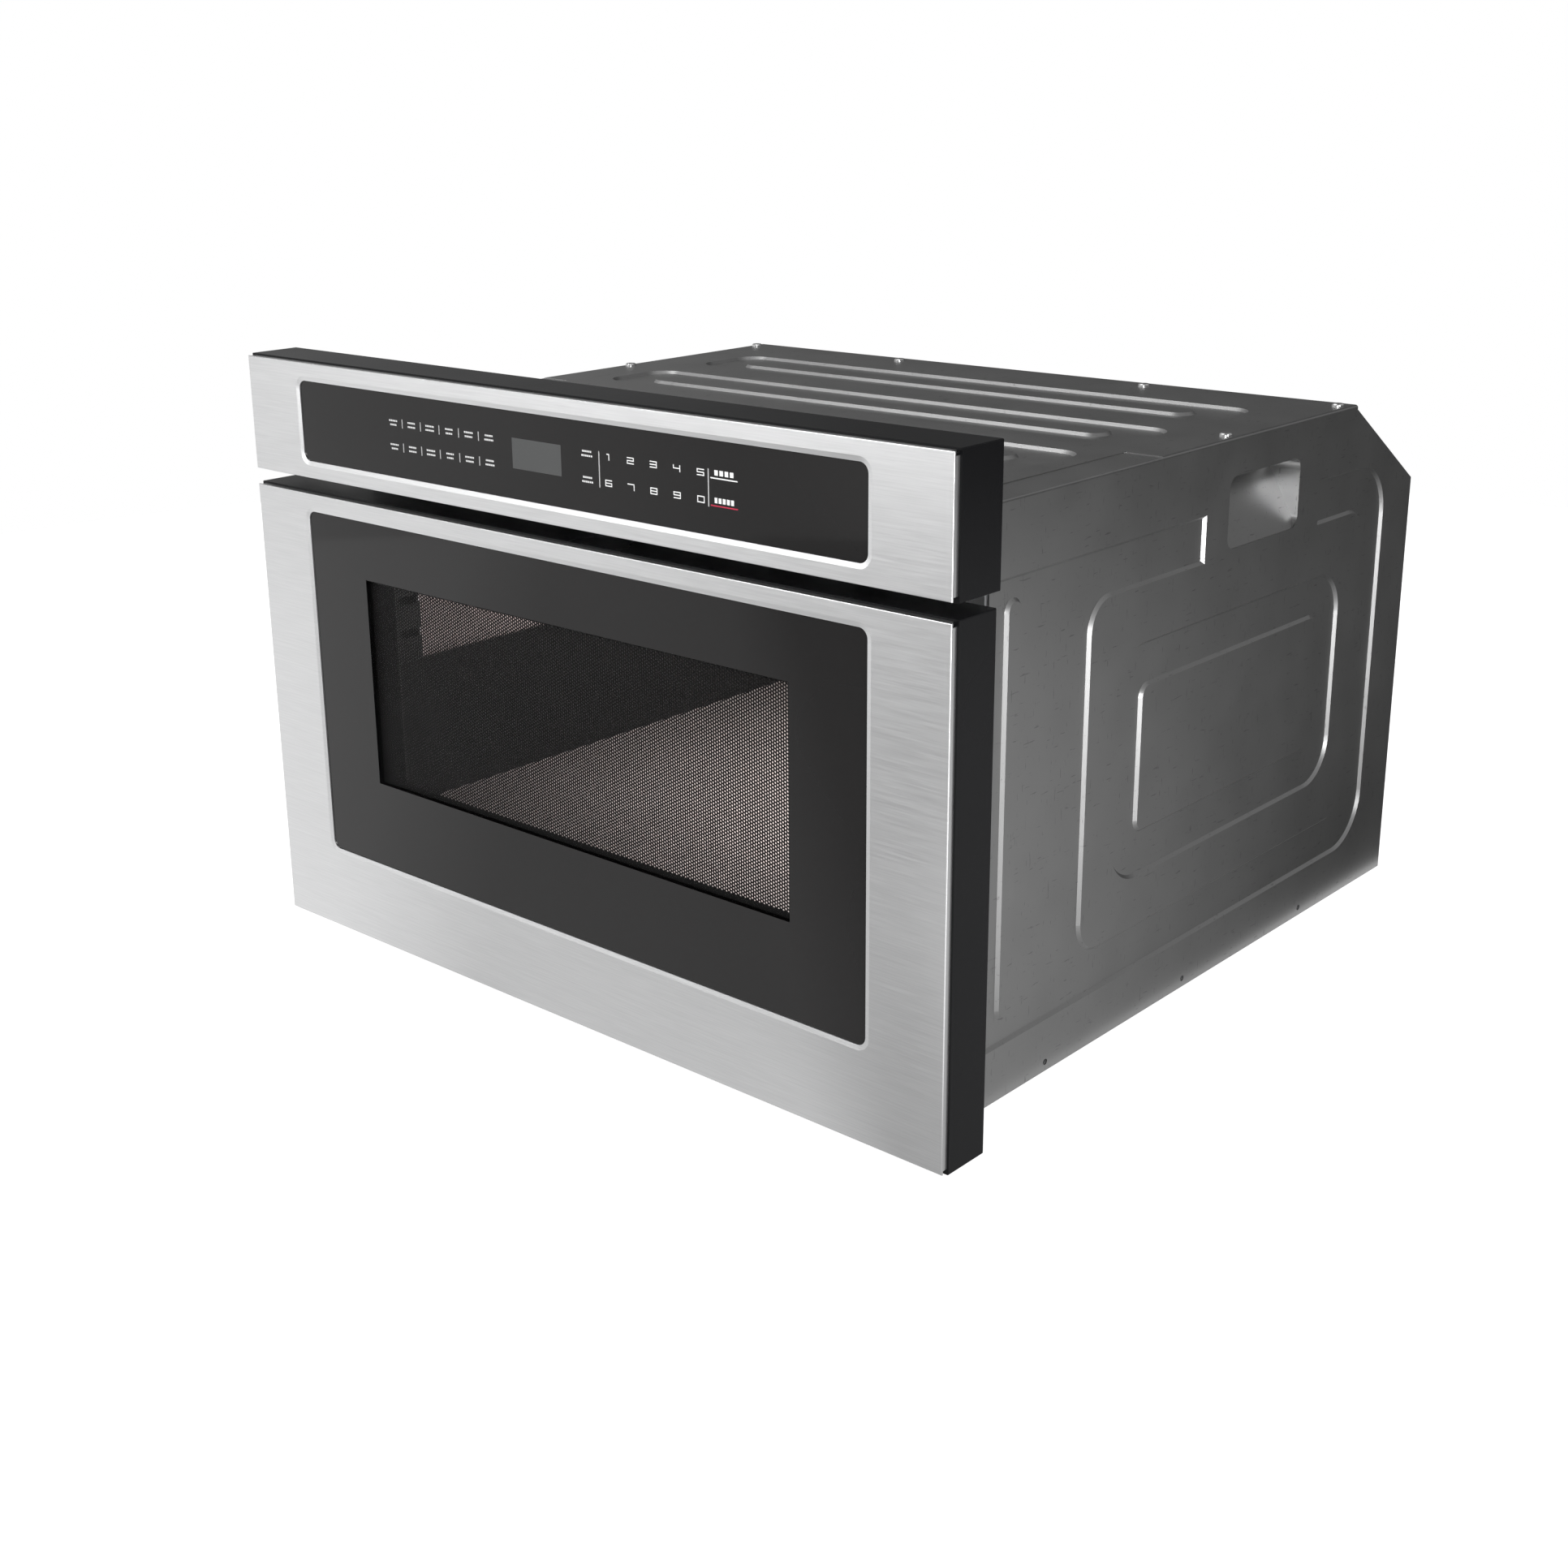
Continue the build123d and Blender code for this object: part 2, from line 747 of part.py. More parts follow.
def make_drawer_front():
    """Drawer front: skin, glass, screen, housing and back plate."""
    low = drawer_bottom + housing_lip
    high = drawer_top - housing_lip
    pieces["drawer_fascia"] = skin(low, high, drawer_glass_half, drawer_glass_z)
    pieces["drawer_glass"] = glass(drawer_glass_half, drawer_glass_z)

    border = screen_border
    screen = field(
        -window_half - border, window_half + border, window_z[0] - border, window_z[1] + border,
        screen_corner)
    pieces["perforated_screen"] = through(screen, glass_back, screen_back)

    body = housing(drawer_bottom, drawer_top, drawer_front_depth, drawer_glass_half, drawer_glass_z)
    body -= slab(
        -window_half - border - seat_gap, window_half + border + seat_gap, glass_back, screen_back,
        window_z[0] - border - seat_gap, window_z[1] + border + seat_gap)
    web = screen_back + housing_wall
    plate_front = drawer_front_depth - back_plate_sheet
    in_half = half_width - housing_wall
    in_low = drawer_bottom + housing_wall
    in_high = drawer_top - housing_wall
    hollow = slab(-in_half, in_half, web, plate_front, in_low, in_high)
    hollow -= slab(
        -opening_half - housing_wall, opening_half + housing_wall, web, plate_front,
        opening_z[0] - housing_wall, opening_z[1] + housing_wall)
    rib_pitch = 2 * in_half / (rib_count + 1)
    for i in range(rib_count):
        x = -in_half + rib_pitch * (i + 1)
        hollow -= slab(x - rib_sheet / 2, x + rib_sheet / 2, web, plate_front, in_low, in_high)
    body -= hollow
    body -= slab(-in_half, in_half, plate_front, drawer_front_depth, in_low, in_high)
    opening = field(-opening_half, opening_half, *opening_z, opening_corner)
    body -= through(opening, 0, drawer_front_depth)
    pieces["drawer_housing"] = body

    plate = slab(
        -in_half + seat_gap, in_half - seat_gap, plate_front, drawer_front_depth,
        in_low + seat_gap, in_high - seat_gap)
    pieces["drawer_back_plate"] = plate - through(opening, 0, drawer_front_depth)


# ------------------------------------------------------------------ choke and inner pane
def choke_outline(inset):
    """Outer shape of the choke, drawn in by an inset."""
    upper = field(-choke_half + inset, choke_half - inset, choke_low + inset, choke_top - inset)
    lower = field(-tongue_half + inset, tongue_half - inset, tongue_low + inset, choke_top - inset)
    return upper + lower


def make_choke():
    """Channel round the drawer's mouth, its cover and the inner pane."""
    inner = field(-choke_in_half, choke_in_half, *choke_in_z, choke_corner)
    inner_wall = field(
        -choke_in_half - choke_sheet, choke_in_half + choke_sheet,
        choke_in_z[0] - choke_sheet, choke_in_z[1] + choke_sheet, choke_corner + choke_sheet)
    body = through(choke_outline(0), drawer_front_depth, choke_back)
    body -= through(choke_outline(choke_sheet) - inner_wall, web_back, choke_back)
    body -= through(inner, web_back, choke_back)
    web_hole = field(-web_half, web_half, *web_z, opening_corner)
    body -= through(web_hole, 0, choke_back)
    slot_front = choke_back - slot_run
    across_count = int((2 * choke_in_half - 2 * slot_margin) // slot_pitch)
    up_count = int((choke_in_z[1] - choke_in_z[0] - 2 * slot_margin) // slot_pitch)
    middle_z = sum(choke_in_z) / 2
    for i in range(across_count):
        x = (i - (across_count - 1) / 2) * slot_pitch
        for z in (choke_in_z[0] - choke_sheet, choke_in_z[1]):
            body -= slab(
                x - slot_width / 2, x + slot_width / 2, slot_front, choke_back, z, z + choke_sheet)
    for i in range(up_count):
        z = middle_z + (i - (up_count - 1) / 2) * slot_pitch
        for x in (-choke_in_half - choke_sheet, choke_in_half):
            body -= slab(
                x, x + choke_sheet, slot_front, choke_back, z - slot_width / 2, z + slot_width / 2)
    pieces["choke_frame"] = body

    ring_hole = field(
        -choke_in_half - choke_sheet - seat_gap, choke_in_half + choke_sheet + seat_gap,
        choke_in_z[0] - choke_sheet - seat_gap, choke_in_z[1] + choke_sheet + seat_gap,
        choke_corner + choke_sheet + seat_gap)
    ring = choke_outline(choke_sheet + seat_gap) - ring_hole
    pieces["choke_cover"] = through(ring, choke_back - choke_cover_sheet, choke_back)

    pane = field(
        -web_half - pane_cover, web_half + pane_cover, web_z[0] - pane_cover, web_z[1] + pane_cover,
        opening_corner)
    pieces["inner_pane"] = through(pane, web_back, web_back + pane_sheet)


# ------------------------------------------------------------------ tray
def make_tray():
    """Tray with two sides, a back and a folded rim; the drawer front closes it."""
    floor = field(-tray_half, tray_half, tray_front, tray_back)
    solid = upward(floor, tray_low, tray_top)
    rear_edges = solid.edges().filter_by(Axis.Z).group_by(Axis.Y)[-1]
    solid = fillet(rear_edges, tray_corner)
    inside = field(
        -tray_half + tray_wall, tray_half - tray_wall, tray_front - tray_corner,
        tray_back - tray_wall)
    hollow = upward(inside, tray_low + tray_wall, tray_top)
    hollow_rear = hollow.edges().filter_by(Axis.Z).group_by(Axis.Y)[-1]
    hollow = fillet(hollow_rear, tray_corner - tray_wall)
    tray = solid - hollow
    for side in (-1, 1):
        x = sorted((side * tray_half, side * (tray_half - tray_wall)))
        arm_low = web_z[0]
        tray += slab(x[0], x[1], web_back, tray_front, arm_low, tray_top)
        rim = sorted((side * tray_half, side * (tray_half + tray_rim)))
        tray += slab(
            rim[0], rim[1], tray_front, tray_back - tray_corner, tray_top - tray_wall, tray_top)
    pieces["tray"] = tray

    base = field(
        -tray_half + tray_wall + seat_gap, tray_half - tray_wall - seat_gap,
        tray_front + seat_gap, tray_back - tray_wall - seat_gap, tray_corner - tray_wall)
    pieces["tray_base"] = upward(base, tray_low + tray_wall, tray_low + tray_wall + base_sheet)


# ------------------------------------------------------------------ cabinet sheets
def side_relief(inset, extra):
    """Right side panel as a block up to its pressed surface, drawn in by an inset."""
    front = panel_front + inset
    rear = panel_rear - inset
    top = panel_top - inset
    bottom = foot_height - extra
    drop = (cabinet_sheet + inset) / math.cos(slope_angle)  # the rear panel lies on the slope
    start = slope_start + (inset - drop) / math.tan(slope_angle)
    low = panel_top - (rear - slope_start) * math.tan(slope_angle) - drop
    shape = outline([(front, bottom), (rear, bottom), (rear, low), (start, top), (front, top)])
    outer = panel_outer - inset
    inner = flange_inner - extra
    floor = outer - emboss
    block = across(shape, inner, outer)
    front_edge = block.edges().filter_by(Axis.Z).group_by(Axis.Y)[0].sort_by(Axis.X)[-1]
    block = fillet(front_edge, bend_radius - inset)
    top_edge = block.edges().filter_by(Axis.Y).group_by(Axis.Z)[-1].sort_by(Axis.X)[-1]
    block = fillet(top_edge, top_radius - inset)

    sunk = across(
        field(
            front - relief_corner, relief_rear, relief_low, relief_high, relief_corner - past),
        floor, outer, -press_angle)
    island = field(ring_front, ring_rear, ring_low, ring_high, ring_corner)
    sunk -= across(island, floor, outer, press_angle)
    sunk -= across(
        field(
            bridge_front, bridge_rear, ring_high - far_past, relief_high + far_past, bridge_corner),
        floor, outer, press_angle)
    block -= sunk
    block -= across(
        field(field_front, field_rear, field_low, field_high, field_corner),
        floor, outer, -press_angle)
    block += across(
        field(plateau_front, plateau_rear, plateau_low, plateau_high, plateau_corner),
        floor, outer, press_angle)
    bead = field(
        bead_front, bead_front + bead_width, bead_low, bead_high, bead_width / 2 - bead_flat)
    block += across(bead, floor, outer, press_angle)
    return block


def make_side_panels():
    """Pressed side panels with their flanges, carrying pockets and screw holes."""
    sheet = side_relief(0, 0) - side_relief(cabinet_sheet, far_past)
    room = 2 * slide_room
    sheet -= slab(
        flange_inner - past, panel_low - bend_radius, panel_front - past, panel_front + room,
        slide_low - room, slide_high + room)

    reach = 5 * past

    def pocket(grow):
        """Space of the pocket, with its wall if grown."""
        mouth = field(
            pocket_front - grow, pocket_rear + grow, pocket_low - grow, pocket_high + grow,
            pocket_corner + grow)
        slant = outline([
            (panel_outer + reach, pocket_low - reach), (panel_outer + reach, pocket_high + reach),
            (panel_outer - pocket_depth - grow, pocket_high + reach),
            (panel_outer - pocket_depth - grow, pocket_high + grow),
            (panel_outer - cabinet_sheet - grow, pocket_low - grow),
            (panel_outer - cabinet_sheet - grow, pocket_low - reach)])
        wedge = through(slant, pocket_front - far_past, pocket_rear + far_past)
        return across(mouth, panel_outer - pocket_depth - reach, panel_outer + past) & wedge

    cup = pocket(cabinet_sheet) & slab(
        0, panel_outer, pocket_front - far_past, pocket_rear + far_past,
        pocket_low - reach, pocket_high + reach)
    sheet = sheet + cup - pocket(0)
    for i in range(side_hole_count):
        depth = side_hole_first + side_hole_pitch * i
        sheet -= rod(
            side_hole_radius, panel_outer - reach, panel_outer + past, depth, side_hole_height)
    for depth in (edge_screw_depth, rear_row_depth):
        sheet -= post(
            screw_shank + screw_play, top_screw_x, depth, panel_top - reach, panel_top + past)
    for x, z in rear_screw_places():
        if x > 0:
            sheet -= facing(x, overall_depth, z, backward) * sink_hole()
    add_pair("side_panel", sheet)


def top_relief(inset, extra):
    """Top cover as a block up to its pressed surface, drawn in by an inset."""
    half = panel_outer + cabinet_sheet - inset
    top = cabinet_top - inset
    front = cabinet_front - extra
    rear = slope_start + extra
    block = slab(-half, half, front, rear, cabinet_top - skirt_height - extra, top)
    corner = block.edges().filter_by(Axis.Y).group_by(Axis.Z)[-1]
    block = fillet(corner, top_radius - inset)
    floor = top - emboss
    for i in range(top_field_count):
        start = top_field_first + top_field_pitch * i
        sunk = field(
            -top_field_half, top_field_half, start, start + top_field_run, top_field_corner)
        block -= upward(sunk, floor, top, -press_angle)
        middle = start + top_rib_middle
        rib = field(
            -top_rib_half, top_rib_half, middle - top_rib_run / 2, middle + top_rib_run / 2,
            top_rib_run / 2 - rib_flat)
        block += upward(rib, floor, top, press_angle)
    for side in (-1, 1):
        ends = sorted((side * top_step_half, side * (half + past)))
        block -= slab(ends[0], ends[1], front - past, top_step_rear, top - top_step, top + past)
    return block


def make_top_cover():
    """Pressed top cover with skirts over the side panels."""
    sheet = top_relief(0, 0) - top_relief(cabinet_sheet, far_past)
    for x, depth in top_screw_places():
        sheet -= post(
            screw_shank + screw_play, x, depth, cabinet_top - skirt_height, cabinet_top + past)
    pieces["top_cover"] = sheet


def top_screw_places():
    """Where the screws of the top cover stand."""
    edge = [
        (side * top_screw_x, depth)
        for depth in (edge_screw_depth, rear_row_depth) for side in (-1, 1)]
    return edge + [(x, rear_row_depth) for x in rear_row_x]


def make_base_pan():
    """Base pan with pressed feet and flanges inside the side panels."""
    front = panel_front + cabinet_sheet
    rear = panel_rear - cabinet_sheet
    pan = slab(-pan_half, pan_half, front, rear, foot_height, pan_top + pan_flange)
    pan = fillet(pan.edges().filter_by(Axis.Z), bend_radius)
    pan -= slab(
        -pan_half + pan_sheet, pan_half - pan_sheet, front + pan_sheet, rear - pan_sheet,
        pan_top, pan_top + pan_flange)
    for x in (-pan_half + foot_inset, pan_half - foot_inset):
        for depth in (front + foot_inset, rear - foot_inset):
            dish = upward(
                Pos(x, depth) * Circle(foot_radius - foot_height), 0, foot_height, -foot_angle)
            dent = Pos(0, 0, pan_sheet) * dish
            pan = pan + dish - dent
    for i in range(side_hole_count):
        depth = side_hole_first + side_hole_pitch * i
        pan -= rod(side_hole_radius, -pan_half - past, pan_half + past, depth, side_hole_height)
    pieces["base_pan"] = pan


def make_rear_panel():
    """Rear panel: a sloping top part and an upright part with louvres."""
    half = panel_outer - bend_radius

    def path(inset):
        """Outer line of the sheet, drawn in by an inset."""
        top = panel_top - inset
        start = slope_start - inset * math.tan(slope_angle / 2)
        low = slope_low - inset * math.tan((math.pi / 2 - slope_angle) / 2)
        rear = overall_depth - inset
        return [(slope_start - tab_run, top), (start, top), (rear, low), (rear, pan_top)]

    line = path(0) + list(reversed(path(cabinet_sheet)))
    sheet = across(outline(line), -half, half)
    for side in (-1, 1):
        ends = sorted((side * (flange_inner - past), side * (half + past)))
        sheet -= slab(
            ends[0], ends[1], slope_start - tab_run - past, slope_start,
            panel_top - 3 * past, panel_top + past)
    cut = (overall_depth - 5 * past, overall_depth + past)
    for x0, z_mid in ((fan_x, fan_height), (transformer_x, second_vent_height)):
        for i in range(vent_rows):
            z = z_mid + (i - (vent_rows - 1) / 2) * vent_pitch
            slot = Pos(x0, z) * Rectangle(vent_length, vent_width)
            sheet -= through(slot, *cut)
    sheet -= axle(inlet_radius, inlet_x, inlet_z, *cut)
    for x in rear_row_x:
        sheet -= post(
            screw_shank + screw_play, x, rear_row_depth, panel_top - 5 * past, panel_top + past)
    for x, z in rear_screw_places():
        sheet -= facing(x, overall_depth, z, backward) * sink_hole()
    pieces["rear_panel"] = sheet


def rear_screw_places():
    """Where the screws of the rear panel stand."""
    heights = (rear_screw_low, rear_screw_middle, slope_low - rear_screw_drop)
    return [(side * top_screw_x, z) for side in (-1, 1) for z in heights]


def make_front_plate():
    """Front plate behind the drawer, with the mouth and the slots of the moving parts."""
    half = panel_low - plate_side_gap
    plate = slab(-half, half, cabinet_front, plate_back, pan_top, panel_top)
    cut = (cabinet_front - past, plate_back + past)
    mouth = field(-mouth_half, mouth_half, cavity_floor, cavity_ceiling, cavity_corner)
    plate -= through(mouth, *cut)
    slide_side = slide_outer - plate_slide_lap
    for side in (-1, 1):
        ends = sorted((side * (rack_inner - rack_room), side * slide_side))
        plate -= slab(*ends, *cut, slide_low - slide_room, slide_high + slide_room)
        ends = sorted((side * (hook_x - hook_room), side * (hook_x + hook_room)))
        plate -= slab(*ends, *cut, hook_low - nose_drop - slide_room, hook_high + slide_room)
    for i in range(plate_vent_count):
        x = (i - (plate_vent_count - 1) / 2) * plate_vent_pitch
        slot = Pos(x, hook_high + plate_vent_rise) * SlotOverall(plate_vent_length, plate_vent_width)
        plate -= through(slot, *cut)
    cable_way = field(
        -cable_way_half, cable_way_half, panel_top - cable_way_drop - cable_way_height,
        panel_top - cable_way_drop, cable_way_corner)
    pieces["front_plate"] = plate - through(cable_way, *cut)


def make_cavity():
    """Oven cavity, open at the front, with the holes of the stirrer and the lamp."""
    outer = field(
        -mouth_half - cavity_sheet, mouth_half + cavity_sheet, cavity_floor - cavity_sheet,
        cavity_ceiling + cavity_sheet, cavity_corner + cavity_sheet)
    inner = field(-mouth_half, mouth_half, cavity_floor, cavity_ceiling, cavity_corner)
    box = through(outer, plate_back, cavity_back + cavity_sheet)
    box -= through(inner, plate_back, cavity_back)
    box -= post(stirrer_hole, 0, stirrer_depth, cavity_ceiling - past, guide_low + past)
    middle = (lamp_rows - 1) / 2
    for i in range(lamp_rows):
        for j in range(lamp_rows):
            box -= rod(
                lamp_hole_radius, -mouth_half - 5 * past, -mouth_half + 5 * past,
                lamp_depth + (i - middle) * lamp_hole_pitch, lamp_z + (j - middle) * lamp_hole_pitch)
    pieces["oven_cavity"] = box


# ------------------------------------------------------------------ slides
def channel(x_out, x_in, z0, z1, lip):
    """A channel section that opens inwards, with turned-in lips."""
    t = slide_sheet
    shape = field(x_in, x_out, z0, z1) - field(x_in - past, x_out - t, z0 + t, z1 - t)
    shape += field(x_in, x_in + t, z0, z0 + t + lip)
    shape += field(x_in, x_in + t, z1 - t - lip, z1)
    return shape


def make_slides():
    """Three-member slides, their brackets and the racks on the inner members."""
    start = plate_back + slide_start
    bracket = slab(
        slide_outer, bracket_outer, start, start + slide_length, pan_top,
        slide_high + bracket_rise)
    bracket += slab(
        bracket_outer - bracket_foot, bracket_outer, start, start + slide_length,
        pan_top, pan_top + bracket_sheet)
    add_two("slide_brackets", bracket)

    outer = channel(slide_outer, slide_inner, slide_low, slide_high, slide_lip)
    add_pair("outer_slide", through(outer, start, start + slide_length))

    step = slide_sheet + slide_gap
    middle_out = slide_outer - step
    middle_in = slide_inner + step
    middle_low = slide_low + step
    middle_high = slide_high - step
    middle = channel(middle_out, middle_in, middle_low, middle_high, slide_lip)
    add_pair("middle_slide", through(middle, start, start + middle_length))

    head_out = middle_out - step
    head_in = middle_in + step
    head_low = middle_low + step
    head_high = middle_high - step
    neck_low = middle_low + step + slide_lip
    neck_high = middle_high - step - slide_lip
    head = field(head_in, head_out, head_low, head_high)
    neck = field(neck_face, head_in + slide_sheet, neck_low, neck_high)
    hollow = field(
        head_in + slide_sheet, head_out + past, head_low + slide_sheet, head_high - slide_sheet)
    inner_slide = through(head + neck - hollow, drawer_front_depth, start + middle_length)
    shoe = slab(
        rack_inner, slide_outer - shoe_inset, drawer_front_depth,
        drawer_front_depth + shoe_sheet, slide_low, slide_high + shoe_sheet)
    add_pair("inner_slide", inner_slide + shoe)


def rack_profile():
    """Rack with its teeth downwards: a gap stands over the drive shaft."""
    pitch = math.pi * gear_module
    root = rack_line + 1.25 * gear_module
    tip = rack_line - gear_module
    thick = pitch / 2 - tooth_slack
    lean = math.tan(pressure_angle)
    count = int(rack_length // pitch)
    first = shaft_depth - pitch / 2
    back_count = int((first - rack_start) // pitch)
    start = first - back_count * pitch - pitch / 2
    points = [(start, root)]
    for i in range(count):
        centre = start + pitch * (i + 0.5)
        root_half = thick / 2 + (root - rack_line) * lean
        tip_half = thick / 2 - (rack_line - tip) * lean
        points += [(centre - root_half, root), (centre - tip_half, tip)]
        points += [(centre + tip_half, tip), (centre + root_half, root)]
    end = start + pitch * count
    points += [(end, root), (end, rack_top), (start, rack_top)]
    return outline(points)


def gear_profile(teeth, module, first_angle):
    """Involute spur gear about the origin, with a tooth at the first angle."""
    pitch_r = teeth * module / 2
    base_r = pitch_r * math.cos(pressure_angle)
    tip_r = pitch_r + module
    root_r = pitch_r - 1.25 * module
    half_pitch = (math.pi * module / 2 - tooth_slack) / 2 / pitch_r
    at_pitch = math.tan(pressure_angle) - pressure_angle
    steps = 3
    low_r = max(base_r, root_r + 0.05)
    flank = []
    for i in range(steps):
        radius = low_r + (tip_r - low_r) * i / (steps - 1)
        roll = math.acos(min(1.0, base_r / radius))
        flank.append((radius, half_pitch + at_pitch - (math.tan(roll) - roll)))
    points = []
    for tooth in range(teeth):
        centre = first_angle + 2 * math.pi * tooth / teeth
        root_half = flank[0][1] * 1.06
        side = [(root_r, -root_half)] + [(r, -a) for r, a in flank]
        side += [(r, a) for r, a in reversed(flank)] + [(root_r, root_half)]
        points += [(r * math.cos(centre + a), r * math.sin(centre + a)) for r, a in side]
    return outline(points)


def make_drive():
    """Drive shaft with pinions, driven gear, bearings, racks, gearbox and motor."""
    add_two("drive_racks", across(rack_profile(), rack_inner, neck_face))

    shaft_end = neck_face - slide_gap
    pieces["drive_shaft"] = rod(shaft_radius, -shaft_end, shaft_end, shaft_depth, shaft_height)

    up = math.pi / 2
    pinion = gear_profile(pinion_teeth, gear_module, up) - Circle(shaft_radius)
    at_shaft = Pos(shaft_depth, shaft_height)
    add_two("shaft_pinions", across(at_shaft * pinion, rack_inner, shaft_end))

    driven = gear_profile(driven_teeth, fine_module, 0.0) - Circle(shaft_radius)
    wheel = across(at_shaft * driven, driven_offset, driven_offset + fine_width)
    hub = Circle(shaft_radius + driven_hub) - Circle(shaft_radius)
    wheel += across(
        at_shaft * hub, driven_offset - gearbox_gap / 2,
        driven_offset + fine_width + driven_hub_length)
    pieces["driven_gear"] = wheel

    bearing_inner = bearing_outer - bearing_width
    body = slab(
        bearing_inner, bearing_outer, shaft_depth - bearing_half, shaft_depth + bearing_half,
        pan_top + bearing_foot, shaft_height + bearing_crown)
    body = fillet(body.edges().filter_by(Axis.X).group_by(Axis.Z)[-1], bearing_round)
    body += slab(
        bearing_inner, bearing_outer, shaft_depth - bearing_foot_half,
        shaft_depth + bearing_foot_half, pan_top, pan_top + bearing_foot)
    body -= rod(
        shaft_radius + shaft_play, bearing_inner - past, bearing_outer + past,
        shaft_depth, shaft_height)
    add_two("shaft_bearings", body)

    small = across(
        Pos(motor_depth, shaft_height) * gear_profile(motor_teeth, fine_module, 0.0),
        driven_offset, driven_offset + fine_width)
    small += rod(
        motor_shaft_radius, gearbox_face - gearbox_length / 2, driven_offset,
        motor_depth, shaft_height)
    pieces["motor_gear"] = small

    box_left = gearbox_face - gearbox_length
    case = slab(
        box_left, gearbox_face, shaft_depth + shaft_radius + gearbox_room,
        motor_depth + gearbox_behind, pan_top, shaft_height + gearbox_above)
    case = fillet(case.edges().filter_by(Axis.X).group_by(Axis.Z)[-1], gearbox_round)
    case -= rod(
        motor_shaft_radius + shaft_play, gearbox_face - gearbox_length / 2 - past,
        gearbox_face + past, motor_depth, shaft_height)
    pieces["drive_gearbox"] = case
    can = rod(
        motor_radius, box_left - motor_length, box_left, motor_depth + motor_behind,
        shaft_height + motor_above)
    pieces["drive_motor"] = chamfer(can.edges().group_by(Axis.X)[0], motor_bevel)


# ------------------------------------------------------------------ latches and interlocks
def make_latches():
    """Hooks on the drawer front, and the switches that they press."""
    base = drawer_front_depth
    nose_low = hook_low - nose_drop
    arm = outline([
        (base, hook_low), (hook_tip - nose_start, hook_low),
        (hook_tip - nose_start + nose_bevel, nose_low), (hook_tip - nose_end, nose_low),
        (hook_tip, hook_low + hook_base_sheet), (hook_tip, hook_high), (base, hook_high)])
    hook = across(arm, hook_x - hook_sheet / 2, hook_x + hook_sheet / 2)
    hook += slab(
        hook_x - hook_base, hook_x + hook_base, base, base + hook_base_sheet,
        hook_low, hook_high + hook_base_sheet)
    add_two("latch_hooks", hook)

    contact = hook_tip + seat_gap
    z_mid = hook_high - plunger_size
    play = seat_gap
    case_front = contact + switch_gap
    case = slab(
        hook_x - switch_width / 2, hook_x + switch_width / 2, case_front,
        case_front + switch_length, z_mid - switch_height / 2, z_mid + switch_height / 2)
    reach = plunger_length + seat_gap
    half = plunger_size / 2
    case -= slab(
        hook_x - half - play, hook_x + half + play, case_front, contact + reach,
        z_mid - half - play, z_mid + half + play)
    add_two("interlock_switches", case)
    plunger = slab(
        hook_x - half, hook_x + half, contact, contact + plunger_length,
        z_mid - half, z_mid + half)
    add_two("switch_plungers", plunger)

    holder_out = hook_x - switch_width / 2
    holder_in = holder_out - holder_sheet
    holder = slab(
        holder_in, holder_out, plate_back, case_front + switch_length,
        z_mid - switch_height / 2, z_mid + switch_height / 2 + 2 * holder_sheet)
    holder += slab(
        holder_in, hook_x + switch_width, plate_back, plate_back + holder_sheet,
        hook_high + holder_rise, hook_high + holder_height)
    holder += slab(
        holder_in, holder_out, plate_back, plate_back + holder_height,
        hook_high, hook_high + holder_height)
    add_two("switch_holders", holder)


# ------------------------------------------------------------------ microwave power parts
def make_waveguide():
    """Square tube that leads from the magnetron to the stirrer."""
    near = stirrer_depth - guide_depth / 2
    far = stirrer_depth + guide_depth / 2
    inside = (guide_left + guide_sheet, guide_right - guide_sheet, near + guide_sheet,
              far - guide_sheet)
    tube = slab(guide_left, guide_right, near, far, guide_low, guide_high)
    tube += slab(
        guide_left - guide_flange, guide_right, near - guide_flange, far + guide_flange,
        guide_low, guide_low + guide_sheet)
    tube -= slab(*inside, guide_low - past, guide_high - guide_sheet)
    tube -= rod(
        antenna_radius + antenna_gap, guide_right - 5 * past, guide_right + past, stirrer_depth,
        antenna_z)
    pieces["waveguide"] = tube - post(
        spindle_radius + shaft_play, 0, stirrer_depth, guide_high - 5 * past, guide_high + past)


def make_magnetron():
    """Magnetron: yoke, tube with its magnets and antenna, and the fins."""
    near = stirrer_depth - guide_depth / 2
    far = stirrer_depth + guide_depth / 2
    z_mid = guide_low + tube_lift + tube_height / 2
    low = z_mid - tube_height / 2
    high = z_mid + tube_height / 2
    left = guide_right + tube_sheet
    right = guide_right + tube_length - tube_sheet
    yoke = slab(guide_right, guide_right + tube_length, near, far, low, high)
    yoke -= slab(left, right, near - past, far + past, low + tube_sheet, high - tube_sheet)
    yoke += rod(tube_core, left, right, stirrer_depth, z_mid)
    yoke += rod(tube_magnet, left, left + tube_magnet_length, stirrer_depth, z_mid)
    yoke += rod(tube_magnet, right - tube_magnet_length, right, stirrer_depth, z_mid)
    yoke += rod(antenna_radius, guide_right - antenna_length, left, stirrer_depth, antenna_z)
    pieces["magnetron"] = yoke
    first = left + tube_magnet_length + fin_gap
    last = right - tube_magnet_length - fin_gap
    fins = []
    for i in range(fin_count):
        x = first + (last - first) * i / (fin_count - 1) - fin_sheet / 2
        plate = slab(
            x, x + fin_sheet, near + fin_gap, far - fin_gap, low + fin_gap, high - fin_gap)
        fins.append(plate - rod(tube_core, x - past, x + fin_sheet + past, stirrer_depth, z_mid))
    pieces["magnetron_fins"] = Part() + fins


